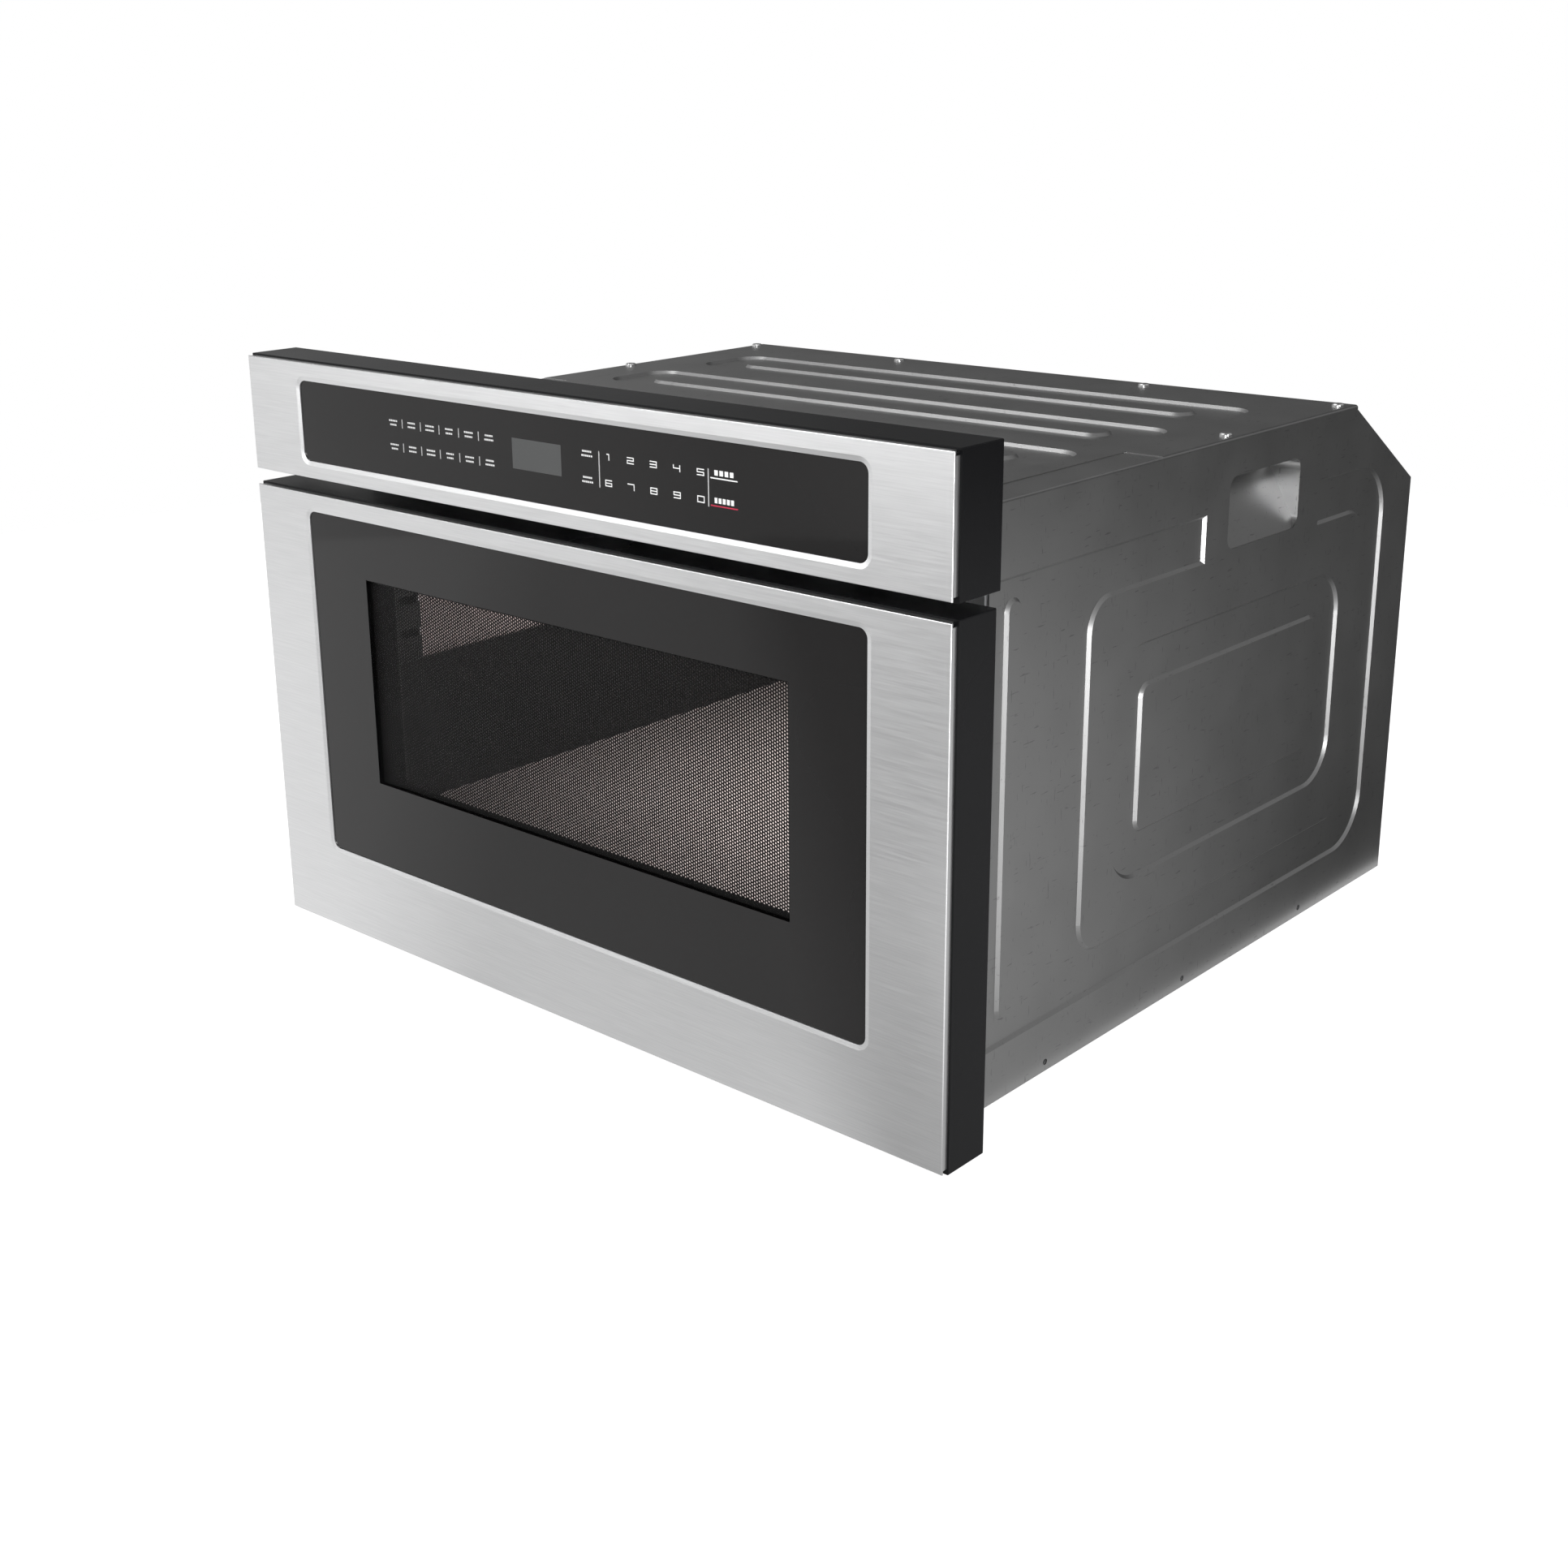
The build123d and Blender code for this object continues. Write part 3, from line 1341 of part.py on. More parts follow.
def make_stirrer():
    """Mode stirrer, its motor on the waveguide and the cover below it."""
    spindle_low = cavity_ceiling - stirrer_drop
    seat = guide_high + spindle_reach
    stirrer = post(spindle_radius, 0, stirrer_depth, spindle_low, seat)
    round_end = stirrer_width / 3
    for run, width in ((2 * stirrer_radius, stirrer_width), (stirrer_width, 2 * stirrer_short)):
        stirrer += upward(
            Pos(0, stirrer_depth) * RectangleRounded(run, width, round_end),
            spindle_low, spindle_low + stirrer_blade)
    pieces["mode_stirrer"] = stirrer
    motor = post(stirrer_motor_radius, 0, stirrer_depth, guide_high,
                 guide_high + stirrer_motor_height)
    motor = chamfer(motor.edges().group_by(Axis.Z)[-1], motor_bevel)
    motor += slab(
        -stirrer_motor_ear, stirrer_motor_ear, stirrer_depth - stirrer_motor_ear_half,
        stirrer_depth + stirrer_motor_ear_half, guide_high, guide_high + stirrer_motor_ear_sheet)
    pieces["stirrer_motor"] = motor - post(
        spindle_radius + shaft_play, 0, stirrer_depth, guide_high - past, seat + seat_gap)

    cover_low = cavity_ceiling - cover_drop
    half = stirrer_radius + cover_margin
    lid = upward(
        field(-half, half, stirrer_depth - half, stirrer_depth + half, cover_corner),
        cover_low, cavity_ceiling)
    half -= cover_sheet
    pieces["stirrer_cover"] = lid - upward(
        field(
            -half, half, stirrer_depth - half, stirrer_depth + half, cover_corner - cover_sheet),
        cover_low + cover_sheet, cavity_ceiling)


def make_transformer():
    """High-voltage transformer: a core with two windows, and its windings."""
    front = rear_parts_front + transformer_gap
    back = front + transformer_depth
    left = transformer_x - transformer_width / 2
    right = transformer_x + transformer_width / 2
    top = pan_top + transformer_height
    low = pan_top + transformer_yoke
    high = top - transformer_yoke
    core = slab(left, right, front, back, pan_top, top)
    window = transformer_width / 5
    inset = transformer_width / 6
    for x in (left + inset, right - inset - window):
        core -= slab(x, x + window, front - past, back + past, low, high)
    pieces["transformer_core"] = core
    inner = (left + inset + window - coil_gap, right - inset - window + coil_gap)
    coil = slab(
        left + inset + coil_gap, right - inset - coil_gap, front - coil_overhang,
        back + coil_overhang, low + coil_gap, high - coil_gap)
    coil = fillet(coil.edges().filter_by(Axis.Z), coil_corner)
    coil -= slab(*inner, front - coil_overhang - past, back + coil_overhang + past, low, high)
    run = coil_overhang - seat_gap
    bridge = [
        slab(*inner, depth, depth + run, low + coil_gap, high - coil_gap)
        for depth in (front - coil_overhang, back + seat_gap)]
    pieces["transformer_coils"] = coil + bridge


def make_capacitor():
    """Oil capacitor lying in its clamp."""
    depth = rear_parts_front + capacitor_behind
    z_mid = pan_top + capacitor_radius + capacitor_lift
    ends = (capacitor_x - capacitor_length / 2, capacitor_x + capacitor_length / 2)
    can = rod(capacitor_radius, *ends, depth, z_mid)
    pieces["capacitor"] = chamfer(can.edges().group_by(Axis.X)[0], capacitor_bevel)
    left = capacitor_x - clamp_half
    right = capacitor_x + clamp_half
    back = depth + capacitor_radius
    clamp = rod(capacitor_radius + clamp_sheet, left, right, depth, z_mid)
    clamp -= rod(capacitor_radius, left - past, right + past, depth, z_mid)
    clamp += slab(left, right, back, back + clamp_foot, pan_top, pan_top + clamp_sheet)
    clamp += slab(left, right, back, back + clamp_sheet, pan_top, z_mid)
    pieces["capacitor_clamp"] = clamp


def make_inlet():
    """Noise filter on its board, and the gland of the power cord."""
    front = rear_parts_front + filter_gap
    low = pan_top + filter_stand
    high = low + board_sheet
    board = slab(filter_left, filter_right, front, front + filter_depth, low, high)
    legs = [
        post(filter_leg_radius, x, depth, pan_top, low)
        for x in (filter_left + filter_inset, filter_right - filter_inset)
        for depth in (front + filter_inset, front + filter_depth - filter_inset)]
    apart = 2 * filter_coil_radius + filter_inset
    first = filter_left + 2 * filter_coil_radius
    coils = [
        post(filter_coil_radius, x, front + filter_depth / 2, high, high + filter_coil_height)
        for x in (first, first + apart)]
    block_left = first + apart + filter_coil_radius + filter_inset
    block = slab(
        block_left, block_left + filter_block_width, front + filter_inset,
        front + filter_inset + filter_block_depth, high, high + filter_block_height)
    pieces["filter_board"] = Part() + [board] + legs + coils + [block]

    gland = axle(
        inlet_radius - gland_play, inlet_x, inlet_z, overall_depth - gland_length, overall_depth)
    nut = Pos(inlet_x, inlet_z) * RegularPolygon(inlet_radius + gland_flange, 6)
    gland += through(
        nut, overall_depth - cabinet_sheet - gland_flange, overall_depth - cabinet_sheet)
    pieces["inlet_gland"] = gland - axle(
        gland_bore, inlet_x, inlet_z, overall_depth - gland_length - past, overall_depth + past)


def make_lamp():
    """Cavity lamp behind its perforated patch of the left wall."""
    wall = -mouth_half - cavity_sheet
    seat = wall - lamp_box_width + lamp_box_sheet
    pieces["lamp_holder"] = lamp_box(0, wall - lamp_box_width) - lamp_box(lamp_box_sheet, seat)
    base_end = seat + bulb_base_length
    bulb = rod(bulb_radius, base_end, base_end + bulb_length, lamp_depth, lamp_z)
    bulb = chamfer(bulb.edges().group_by(Axis.X)[-1], bulb_bevel)
    pieces["lamp_bulb"] = bulb + rod(bulb_base_radius, seat, base_end, lamp_depth, lamp_z)


def lamp_box(inset, x):
    """Block of the lamp's holder, from x to the cavity's wall."""
    half_depth = lamp_box_depth / 2 - inset
    half_height = lamp_box_height / 2 - inset
    return slab(
        x, -mouth_half - cavity_sheet, lamp_depth - half_depth, lamp_depth + half_depth,
        lamp_z - half_height, lamp_z + half_height)


# ------------------------------------------------------------------ cooling fan
def make_fan():
    """Fan frame on the rear panel, its rotor and its motor on four arms."""
    rear = overall_depth - cabinet_sheet
    front = rear - fan_frame_run
    frame = through(
        Pos(fan_x, fan_height) * RectangleRounded(fan_frame, fan_frame, fan_corner), front, rear)
    frame -= axle(fan_bore, fan_x, fan_height, front - past, rear + past)
    arm_front = front - fan_arm_sheet
    start = fan_motor_radius + past
    end = fan_bore + fan_arm_seat
    for i in range(4):
        arm = Pos(fan_x, fan_height) * Rot(0, 0, 45 + 90 * i) * Pos((start + end) / 2, 0)
        frame += through(arm * Rectangle(end - start, fan_arm_width), arm_front, front)
    ring = Pos(fan_x, fan_height) * (
        Circle(fan_motor_radius + fan_ring) - Circle(fan_motor_radius))
    frame += through(ring, arm_front, front)
    pieces["fan_frame"] = frame

    motor_back = front + fan_motor_sink
    motor_middle = motor_back - fan_motor_length / 2
    motor = axle(fan_motor_radius, fan_x, fan_height, motor_back - fan_motor_length, motor_back)
    motor = chamfer(motor.edges().group_by(Axis.Y)[0], motor_bevel)
    pieces["fan_motor"] = motor - axle(
        fan_shaft + shaft_play, fan_x, fan_height, motor_middle, motor_back + past)

    hub_front = motor_back + fan_hub_gap
    hub_back = rear - fan_rear_gap
    rotor = axle(fan_hub, fan_x, fan_height, hub_front, hub_back)
    rotor = chamfer(rotor.edges().group_by(Axis.Y)[-1], fan_hub_bevel)
    rotor += axle(fan_shaft, fan_x, fan_height, motor_middle + past, hub_front)
    tip = fan_bore - fan_tip_gap
    sweep_space = axle(tip, fan_x, fan_height, hub_front, hub_back)
    middle_y = front_y + (hub_front + hub_back) / 2
    for i in range(blade_count):
        blade = Box(tip - fan_hub + 2 * fan_hub_bevel, blade_chord, blade_sheet)
        blade = Pos((tip + fan_hub) / 2, 0, 0) * Rot(blade_angle, 0, 0) * blade
        blade = Pos(fan_x, middle_y, fan_height) * Rot(0, 360 / blade_count * i, 0) * blade
        rotor += blade & sweep_space
    pieces["fan_rotor"] = rotor


# ------------------------------------------------------------------ screws
def make_screws():
    """Screws of the top cover and of the rear panel."""
    group = [screw(facing(x, depth, cabinet_top, upright)) for x, depth in top_screw_places()]
    flat_screw = sink() + screw_stem()
    group += [facing(x, overall_depth, z, backward) * flat_screw for x, z in rear_screw_places()]
    pieces["cabinet_screws"] = Part() + group


def make_all():
    """Build every piece and write each to its own file."""
    make_control_panel()
    make_drawer_front()
    make_choke()
    make_tray()
    make_side_panels()
    make_top_cover()
    make_base_pan()
    make_rear_panel()
    make_front_plate()
    make_cavity()
    make_slides()
    make_drive()
    make_latches()
    make_waveguide()
    make_magnetron()
    make_stirrer()
    make_transformer()
    make_capacitor()
    make_inlet()
    make_lamp()
    make_fan()
    make_screws()
    os.makedirs("parts", exist_ok=True)
    for name, piece in pieces.items():
        export_step(piece, f"parts/{name}.step")
    print(len(pieces), "pieces written")


make_all()
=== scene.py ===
import bpy
import bmesh
import json
import math
from mathutils import Matrix, Vector


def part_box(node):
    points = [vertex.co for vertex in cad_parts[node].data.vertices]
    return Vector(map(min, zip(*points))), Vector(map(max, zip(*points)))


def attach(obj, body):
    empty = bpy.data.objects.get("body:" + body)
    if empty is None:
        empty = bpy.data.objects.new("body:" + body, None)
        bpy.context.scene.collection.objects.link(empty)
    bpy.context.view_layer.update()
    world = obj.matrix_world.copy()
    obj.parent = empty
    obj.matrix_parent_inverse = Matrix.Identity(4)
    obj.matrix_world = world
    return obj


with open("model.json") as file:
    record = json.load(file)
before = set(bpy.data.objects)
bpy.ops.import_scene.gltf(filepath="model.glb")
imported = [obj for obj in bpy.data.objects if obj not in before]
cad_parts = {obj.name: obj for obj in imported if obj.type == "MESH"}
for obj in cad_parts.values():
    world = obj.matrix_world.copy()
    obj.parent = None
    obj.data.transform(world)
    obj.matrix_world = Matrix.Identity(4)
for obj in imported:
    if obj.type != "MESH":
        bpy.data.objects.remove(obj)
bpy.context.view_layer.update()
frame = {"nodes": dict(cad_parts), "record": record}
nodes = frame["nodes"]
mm = 0.001
print("frame loaded:", len(nodes), "nodes")


# Shader arithmetic: a Wire is a node's output that can be added, multiplied and compared.
class Wire:
    def __init__(self, graph, socket):
        self.graph = graph
        self.socket = socket

    def out(self, name):
        return Wire(self.graph, self.socket.node.outputs[name])

    def maths(self, operation, *values):
        return self.graph.node("ShaderNodeMath", {"operation": operation}, values)

    def __add__(self, other):
        return self.maths("ADD", self, other)

    def __radd__(self, other):
        return self.maths("ADD", other, self)

    def __sub__(self, other):
        return self.maths("SUBTRACT", self, other)

    def __rsub__(self, other):
        return self.maths("SUBTRACT", other, self)

    def __mul__(self, other):
        return self.maths("MULTIPLY", self, other)

    def __rmul__(self, other):
        return self.maths("MULTIPLY", other, self)

    def __truediv__(self, other):
        return self.maths("DIVIDE", self, other)

    def __rtruediv__(self, other):
        return self.maths("DIVIDE", other, self)

    def __pow__(self, other):
        return self.maths("POWER", self, other)

    def __rpow__(self, other):
        return self.maths("POWER", other, self)

    def __mod__(self, other):
        return self.maths("FLOORED_MODULO", self, other)

    def __rmod__(self, other):
        return self.maths("FLOORED_MODULO", other, self)

    def __lt__(self, other):
        return self.maths("LESS_THAN", self, other)

    def __gt__(self, other):
        return self.maths("GREATER_THAN", self, other)

    def __abs__(self):
        return self.maths("ABSOLUTE", self)

    def lower(self, other):
        return self.maths("MINIMUM", self, other)

    def higher(self, other):
        return self.maths("MAXIMUM", self, other)


# A Graph adds nodes to one tree: a material's or the sky's.
class Graph:
    def __init__(self, tree):
        self.tree = tree

    def fill(self, slot, value):
        if isinstance(value, Wire):
            self.tree.links.new(value.socket, slot)
        elif slot.type == "RGBA":
            slot.default_value = (*value, 1)
        else:
            slot.default_value = value

    def node(self, kind, settings=None, sockets=(), output=0):
        node = self.tree.nodes.new(kind)
        for name, value in (settings or {}).items():
            if name == "stops":
                ramp = node.color_ramp
                while len(ramp.elements) < len(value):
                    ramp.elements.new(0.5)
                for element, (place, grey) in zip(ramp.elements, value):
                    element.position = place
                    element.color = (grey, grey, grey, 1)
            else:
                setattr(node, name, value)
        pairs = sockets.items() if isinstance(sockets, dict) else enumerate(sockets)
        for name, value in pairs:
            self.fill(node.inputs[name], value)
        return Wire(self, node.outputs[output])

    def place(self):
        return self.node("ShaderNodeTexCoord", output="Object")

    def millimetres(self, axis):
        split = self.node("ShaderNodeSeparateXYZ", None, (self.place(),))
        return split.out(axis) * (1 / mm)

    def noise(self, scale, detail=2, stretch=(1, 1, 1)):
        spot = self.node("ShaderNodeMapping", None, {"Vector": self.place(), "Scale": stretch})
        sockets = {"Vector": spot, "Scale": scale, "Detail": detail}
        return self.node("ShaderNodeTexNoise", None, sockets)

    def blend(self, share, first, second):
        return self.node("ShaderNodeMix", {"data_type": "RGBA"}, {0: share, 6: first, 7: second}, 2)

    def ramp(self, value, *stops):
        return self.node("ShaderNodeValToRGB", {"stops": stops}, (value,))

    # A ramp whose stops are shares of the way from one value to another.
    def graded(self, value, start, end, *stops):
        return self.ramp((value - start) / (end - start), *stops)

    def bump(self, height, depth, strength):
        sockets = {"Height": height, "Distance": depth, "Strength": strength}
        return self.node("ShaderNodeBump", None, sockets)


# A Finish is a material: its even values are set on the shader, and patterns are wired into it.
class Finish(Graph):
    def __init__(self, name, **even):
        self.material = bpy.data.materials.new(name)
        self.material.use_nodes = True
        super().__init__(self.material.node_tree)
        self.shader = self.tree.nodes["Principled BSDF"]
        for socket, value in even.items():
            self.set(socket.replace("_", " "), value)

    def set(self, socket, value):
        self.fill(self.shader.inputs[socket], value)


# Brushed metal: streaks along X with faint clouds. Each roughness stop is a change of the plain one.
brushing = {
    "along": (34, 1700, 1700), "clouds": 7, "cloudShare": 0.15, "tones": ((0.3, 0), (0.7, 1)),
    "roughness": ((0.25, -0.03), (0.75, 0.04)), "depth": 0.02 * mm, "relief": 0.15,
}


def brushed(name, light, dark, rough, along=brushing["along"]):
    look = brushing
    finish = Finish(name, Metallic=1.0)
    grain = finish.noise(1, detail=3, stretch=along)
    clouds = finish.noise(look["clouds"])
    tone = grain * (1 - look["cloudShare"]) + clouds * look["cloudShare"]
    finish.set("Base Color", finish.blend(finish.ramp(tone, *look["tones"]), dark, light))
    stops = [(place, rough + change) for place, change in look["roughness"]]
    finish.set("Roughness", finish.ramp(grain, *stops))
    finish.set("Normal", finish.bump(grain, look["depth"], look["relief"]))
    return finish.material


# Moulded plastic or powder coat: fine grain and a haze.
moulding = {"haze": 9, "paler": 1.25, "added": 0.002, "swing": 0.06, "depth": 0.03 * mm, "relief": 0.3}


def moulded(name, colour, rough, grain=900, gloss=0.5):
    look = moulding
    finish = Finish(name, Specular_IOR_Level=gloss)
    speck = finish.noise(grain)
    haze = finish.noise(look["haze"], detail=3)
    paler = tuple(min(1, c * look["paler"] + look["added"]) for c in colour)
    finish.set("Base Color", finish.blend(haze, colour, paler))
    finish.set("Roughness", rough - look["swing"] + 2 * look["swing"] * haze)
    finish.set("Normal", finish.bump(speck, look["depth"], look["relief"]))
    return finish.material


# Coated steel of the cabinet: clouds, and fine scratches that lie or stand on the side panels.
coating = {
    "light": (0.35, 0.35, 0.35), "dark": (0.3, 0.3, 0.3), "clouds": 22,
    "scratch": (0.12, 0.12, 0.12), "scratchShare": 0.45, "scratchEdge": ((0.27, 1), (0.32, 0)),
    "lying": (300, 90, 700), "standing": (520, 800, 110),
    "rough": 0.33, "rougher": 0.08, "grain": 420, "depth": 0.01 * mm, "relief": 0.3,
}


def coatedSheet(name):
    look = coating
    finish = Finish(name, Metallic=1.0)
    clouds = finish.noise(look["clouds"], detail=4)
    grain = finish.noise(look["grain"])
    lying = finish.ramp(finish.noise(1, stretch=look["lying"]), *look["scratchEdge"])
    standing = finish.ramp(finish.noise(1, stretch=look["standing"]), *look["scratchEdge"])
    scratched = lying.higher(standing) * look["scratchShare"]
    base = finish.blend(clouds, look["dark"], look["light"])
    finish.set("Base Color", finish.blend(scratched, base, look["scratch"]))
    finish.set("Roughness", look["rough"] + look["rougher"] * clouds)
    finish.set("Normal", finish.bump(grain, look["depth"], look["relief"]))
    return finish.material


# Zinc coat: crystals of slightly different grey and roughness.
spangle = {
    "clouds": 30, "cloudShare": 0.4, "rougher": 0.12, "grain": 500, "depth": 0.02 * mm, "relief": 0.3,
}


def spangled(name, light, dark, rough, size):
    look = spangle
    finish = Finish(name, Metallic=0.85)
    sockets = {"Vector": finish.place(), "Scale": size}
    crystal = finish.node("ShaderNodeTexVoronoi", None, sockets, "Color")
    shade = finish.node("ShaderNodeSeparateXYZ", None, (crystal,))
    clouds = finish.noise(look["clouds"], detail=3)
    tone = shade * (1 - look["cloudShare"]) + clouds * look["cloudShare"]
    finish.set("Base Color", finish.blend(tone, dark, light))
    finish.set("Roughness", rough + look["rougher"] * shade.out("Y"))
    finish.set("Normal", finish.bump(finish.noise(look["grain"]), look["depth"], look["relief"]))
    return finish.material


# Enamel: a glossy coat over a slightly rippled ground.
enamel = {
    "coat": 0.3, "coatRough": 0.15, "ripple": 160, "haze": 12, "darker": 0.82, "swing": 0.05,
    "depth": 0.05 * mm, "relief": 0.25,
}


def enamelled(name, colour, rough):
    look = enamel
    finish = Finish(name, Coat_Weight=look["coat"], Coat_Roughness=look["coatRough"])
    ripple = finish.noise(look["ripple"])
    haze = finish.noise(look["haze"], detail=3)
    darker = tuple(c * look["darker"] for c in colour)
    finish.set("Base Color", finish.blend(haze, darker, colour))
    finish.set("Roughness", rough - look["swing"] + 2 * look["swing"] * ripple)
    finish.set("Normal", finish.bump(ripple, look["depth"], look["relief"]))
    return finish.material


# Wound wire: round turns above each other, at a pitch in millimetres. The grooves between turns are
# darkened with a painted shade colour.
winding = {"pitch": 1.2, "coat": 0.6, "rough": 0.3, "rougher": 0.3, "depth": 0.4 * mm, "relief": 0.6}


def wound(name, copper, grooveShade):
    look = winding
    finish = Finish(name, Metallic=0.8, Coat_Weight=look["coat"])
    turn = (finish.millimetres("Z") % look["pitch"]) / look["pitch"]
    crown = 1 - (abs(turn - 0.5) * 2) ** 2
    # Painted shade: the colour darkens from each turn's crown into the groove between turns.
    finish.set("Base Color", finish.blend(crown, grooveShade, copper))
    finish.set("Roughness", look["rough"] + look["rougher"] * (1 - crown))
    finish.set("Normal", finish.bump(crown, look["depth"], look["relief"]))
    return finish.material


# Stacked sheets: a varnished seam at each pitch in millimetres, with some rust.
stack = {
    "pitch": 0.9, "sheetShare": 0.7, "rust": 60, "rustShare": 0.3, "rough": 0.45, "rougher": 0.2,
    "depth": 0.1 * mm, "relief": 0.4,
}


def stacked(name, steel, varnish):
    look = stack
    finish = Finish(name, Metallic=0.7)
    seam = (finish.millimetres("Y") % look["pitch"]) / look["pitch"] > look["sheetShare"]
    rust = finish.noise(look["rust"], detail=4)
    tone = seam * (1 - look["rustShare"]) + rust * look["rustShare"]
    finish.set("Base Color", finish.blend(tone, steel, varnish))
    finish.set("Roughness", look["rough"] + look["rougher"] * rust)
    finish.set("Normal", finish.bump(seam, look["depth"], look["relief"]))
    return finish.material


# A mask of a field of the front, given by half its width and its lower and upper edge.
def inside(finish, field):
    x, z = finish.millimetres("X"), finish.millimetres("Z")
    middle = (field["low"] + field["high"]) / 2
    return (abs(x) < field["half"]) * (abs(z - middle) < field["high"] - middle)


# Black glass, with or without a see-through window. The window's sizes are in millimetres.
glass = {
    "gloss": 0.15, "coatRough": 0.08, "haze": 5, "paler": 1.6, "rough": 0.02, "rougher": 0.03,
    "coat": 0.3, "coatSwing": 0.1, "windowCoat": 0.35,
}
window = {"half": 186.9, "low": 122.8, "high": 266.3, "tint": 0.07}


def blackGlass(name, colour, opening=None):
    look = glass
    finish = Finish(name, Specular_IOR_Level=look["gloss"], Coat_Roughness=look["coatRough"])
    haze = finish.noise(look["haze"])
    paler = tuple(c * look["paler"] for c in colour)
    finish.set("Base Color", finish.blend(haze, colour, paler))
    finish.set("Roughness", look["rough"] + look["rougher"] * haze)
    if opening:
        clear = inside(finish, opening)
        finish.set("Alpha", 1 - clear * (1 - opening["tint"]))
        finish.set("Coat Weight", look["windowCoat"] - look["windowCoat"] * clear)
    else:
        finish.set("Coat Weight", look["coat"] + look["coatSwing"] * haze)
    return finish.material


# Clear glass: only its smears and reflections show.
smears = {"size": 14, "rough": 0.03, "rougher": 0.05, "alpha": 0.03, "alphaSwing": 0.04}


def clearGlass(name, tint):
    look = smears
    finish = Finish(name, Base_Color=tint)
    smear = finish.noise(look["size"], detail=3)
    finish.set("Roughness", look["rough"] + look["rougher"] * smear)
    finish.set("Alpha", look["alpha"] + look["alphaSwing"] * smear)
    return finish.material


# The screen's round holes, in staggered rows. Sizes in millimetres.
perforation = {
    "column": 1.86, "row": 2.15, "radius": 0.74, "half": 186.3, "low": 126.4, "high": 268.0,
    "margin": (0.006, 0.006, 0.006), "gloss": 0.1, "haze": 40, "hazeShare": 0.2,
    "rough": 0.45, "rougher": 0.15,
}


def perforated(name, colour):
    look = perforation
    finish = Finish(name, Specular_IOR_Level=look["gloss"])
    x, z = finish.millimetres("X"), finish.millimetres("Z")
    pair, row = 2 * look["column"], look["row"]
    rings = []
    for shift in (0, 0.5):
        u = (x + shift * pair) % pair - pair / 2
        v = (z + shift * row) % row - row / 2
        rings.append((u * u + v * v) ** 0.5)
    hole = rings[0].lower(rings[1]) < look["radius"]
    field = inside(finish, look)
    haze = finish.noise(look["haze"])
    share = field * (1 - look["hazeShare"] + look["hazeShare"] * haze)
    finish.set("Base Color", finish.blend(share, look["margin"], colour))
    finish.set("Roughness", look["rough"] + look["rougher"] * haze)
    finish.set("Alpha", 1 - hole * field)
    return finish.material


finishes = {
    "fascia_steel": brushed("fasciaSteel", (0.69, 0.692, 0.695), (0.62, 0.622, 0.626), 0.34),
    "black_moulding": moulded("blackMoulding", (0.004, 0.004, 0.0045), 0.26, gloss=0.12),
    "front_glass": blackGlass("frontGlass", (0.009, 0.0085, 0.0085)),
    "clear_glass": clearGlass("clearGlass", (0.03, 0.035, 0.035)),
    "screen_black": moulded("screenBlack", (0.01, 0.01, 0.01), 0.4),
    "coated_sheet": coatedSheet("coatedSheet"),
    "galvanised_sheet": spangled("galvanisedSheet", (0.52, 0.53, 0.54), (0.42, 0.43, 0.44), 0.36, 170),
    "cavity_enamel": enamelled("cavityEnamel", (0.68, 0.59, 0.57), 0.4),
    "tray_enamel": moulded("trayEnamel", (0.012, 0.012, 0.012), 0.45, 160, gloss=0.25),
    "pale_ceramic": enamelled("paleCeramic", (0.72, 0.66, 0.64), 0.3),
    "choke_plastic": moulded("chokePlastic", (0.02, 0.02, 0.021), 0.4),
    "white_plastic": moulded("whitePlastic", (0.75, 0.75, 0.73), 0.42, 700),
    "zinc_steel": spangled("zincSteel", (0.62, 0.62, 0.6), (0.5, 0.5, 0.48), 0.28, 240),
    "bright_screw": brushed("brightScrew", (0.85, 0.85, 0.85), (0.7, 0.7, 0.7), 0.2, (90, 90, 90)),
    "gear_plastic": moulded("gearPlastic", (0.72, 0.69, 0.6), 0.38, 600),
    "hardened_steel": brushed(
        "hardenedSteel", (0.5, 0.5, 0.51), (0.38, 0.38, 0.39), 0.22, (20, 400, 400)),
    "aluminium_fins": brushed(
        "aluminiumFins", (0.78, 0.79, 0.8), (0.66, 0.67, 0.68), 0.3, (60, 60, 6)),
    # The winding's second colour is painted shade for the grooves between turns.
    "copper_winding": wound("copperWinding", (0.62, 0.24, 0.09), (0.1, 0.03, 0.012)),
    "laminations": stacked("laminations", (0.3, 0.29, 0.28), (0.05, 0.045, 0.04)),
    "board_green": moulded("boardGreen", (0.02, 0.13, 0.05), 0.35, 500),
    "black_plastic": moulded("blackPlastic", (0.015, 0.015, 0.016), 0.45, 600),
    "mica_sheet": enamelled("micaSheet", (0.52, 0.46, 0.34), 0.5),
    "display_glass": blackGlass("displayGlass", (0.02, 0.022, 0.022)),
}
for part in frame["record"]["subparts"]:
    mesh = nodes[part["node"]].data
    mesh.materials.clear()
    mesh.materials.append(finishes[part["material_slot"]])

# Three nodes differ from the rest of their slot.
nodes["drawer_glass"].data.materials[0] = blackGlass("windowGlass", (0.009, 0.0085, 0.0085), window)
nodes["choke_frame"].data.materials[0] = moulded("chokePaint", (0.016, 0.016, 0.016), 0.5)
nodes["perforated_screen"].data.materials[0] = perforated("perforatedScreen", (0.006, 0.006, 0.006))


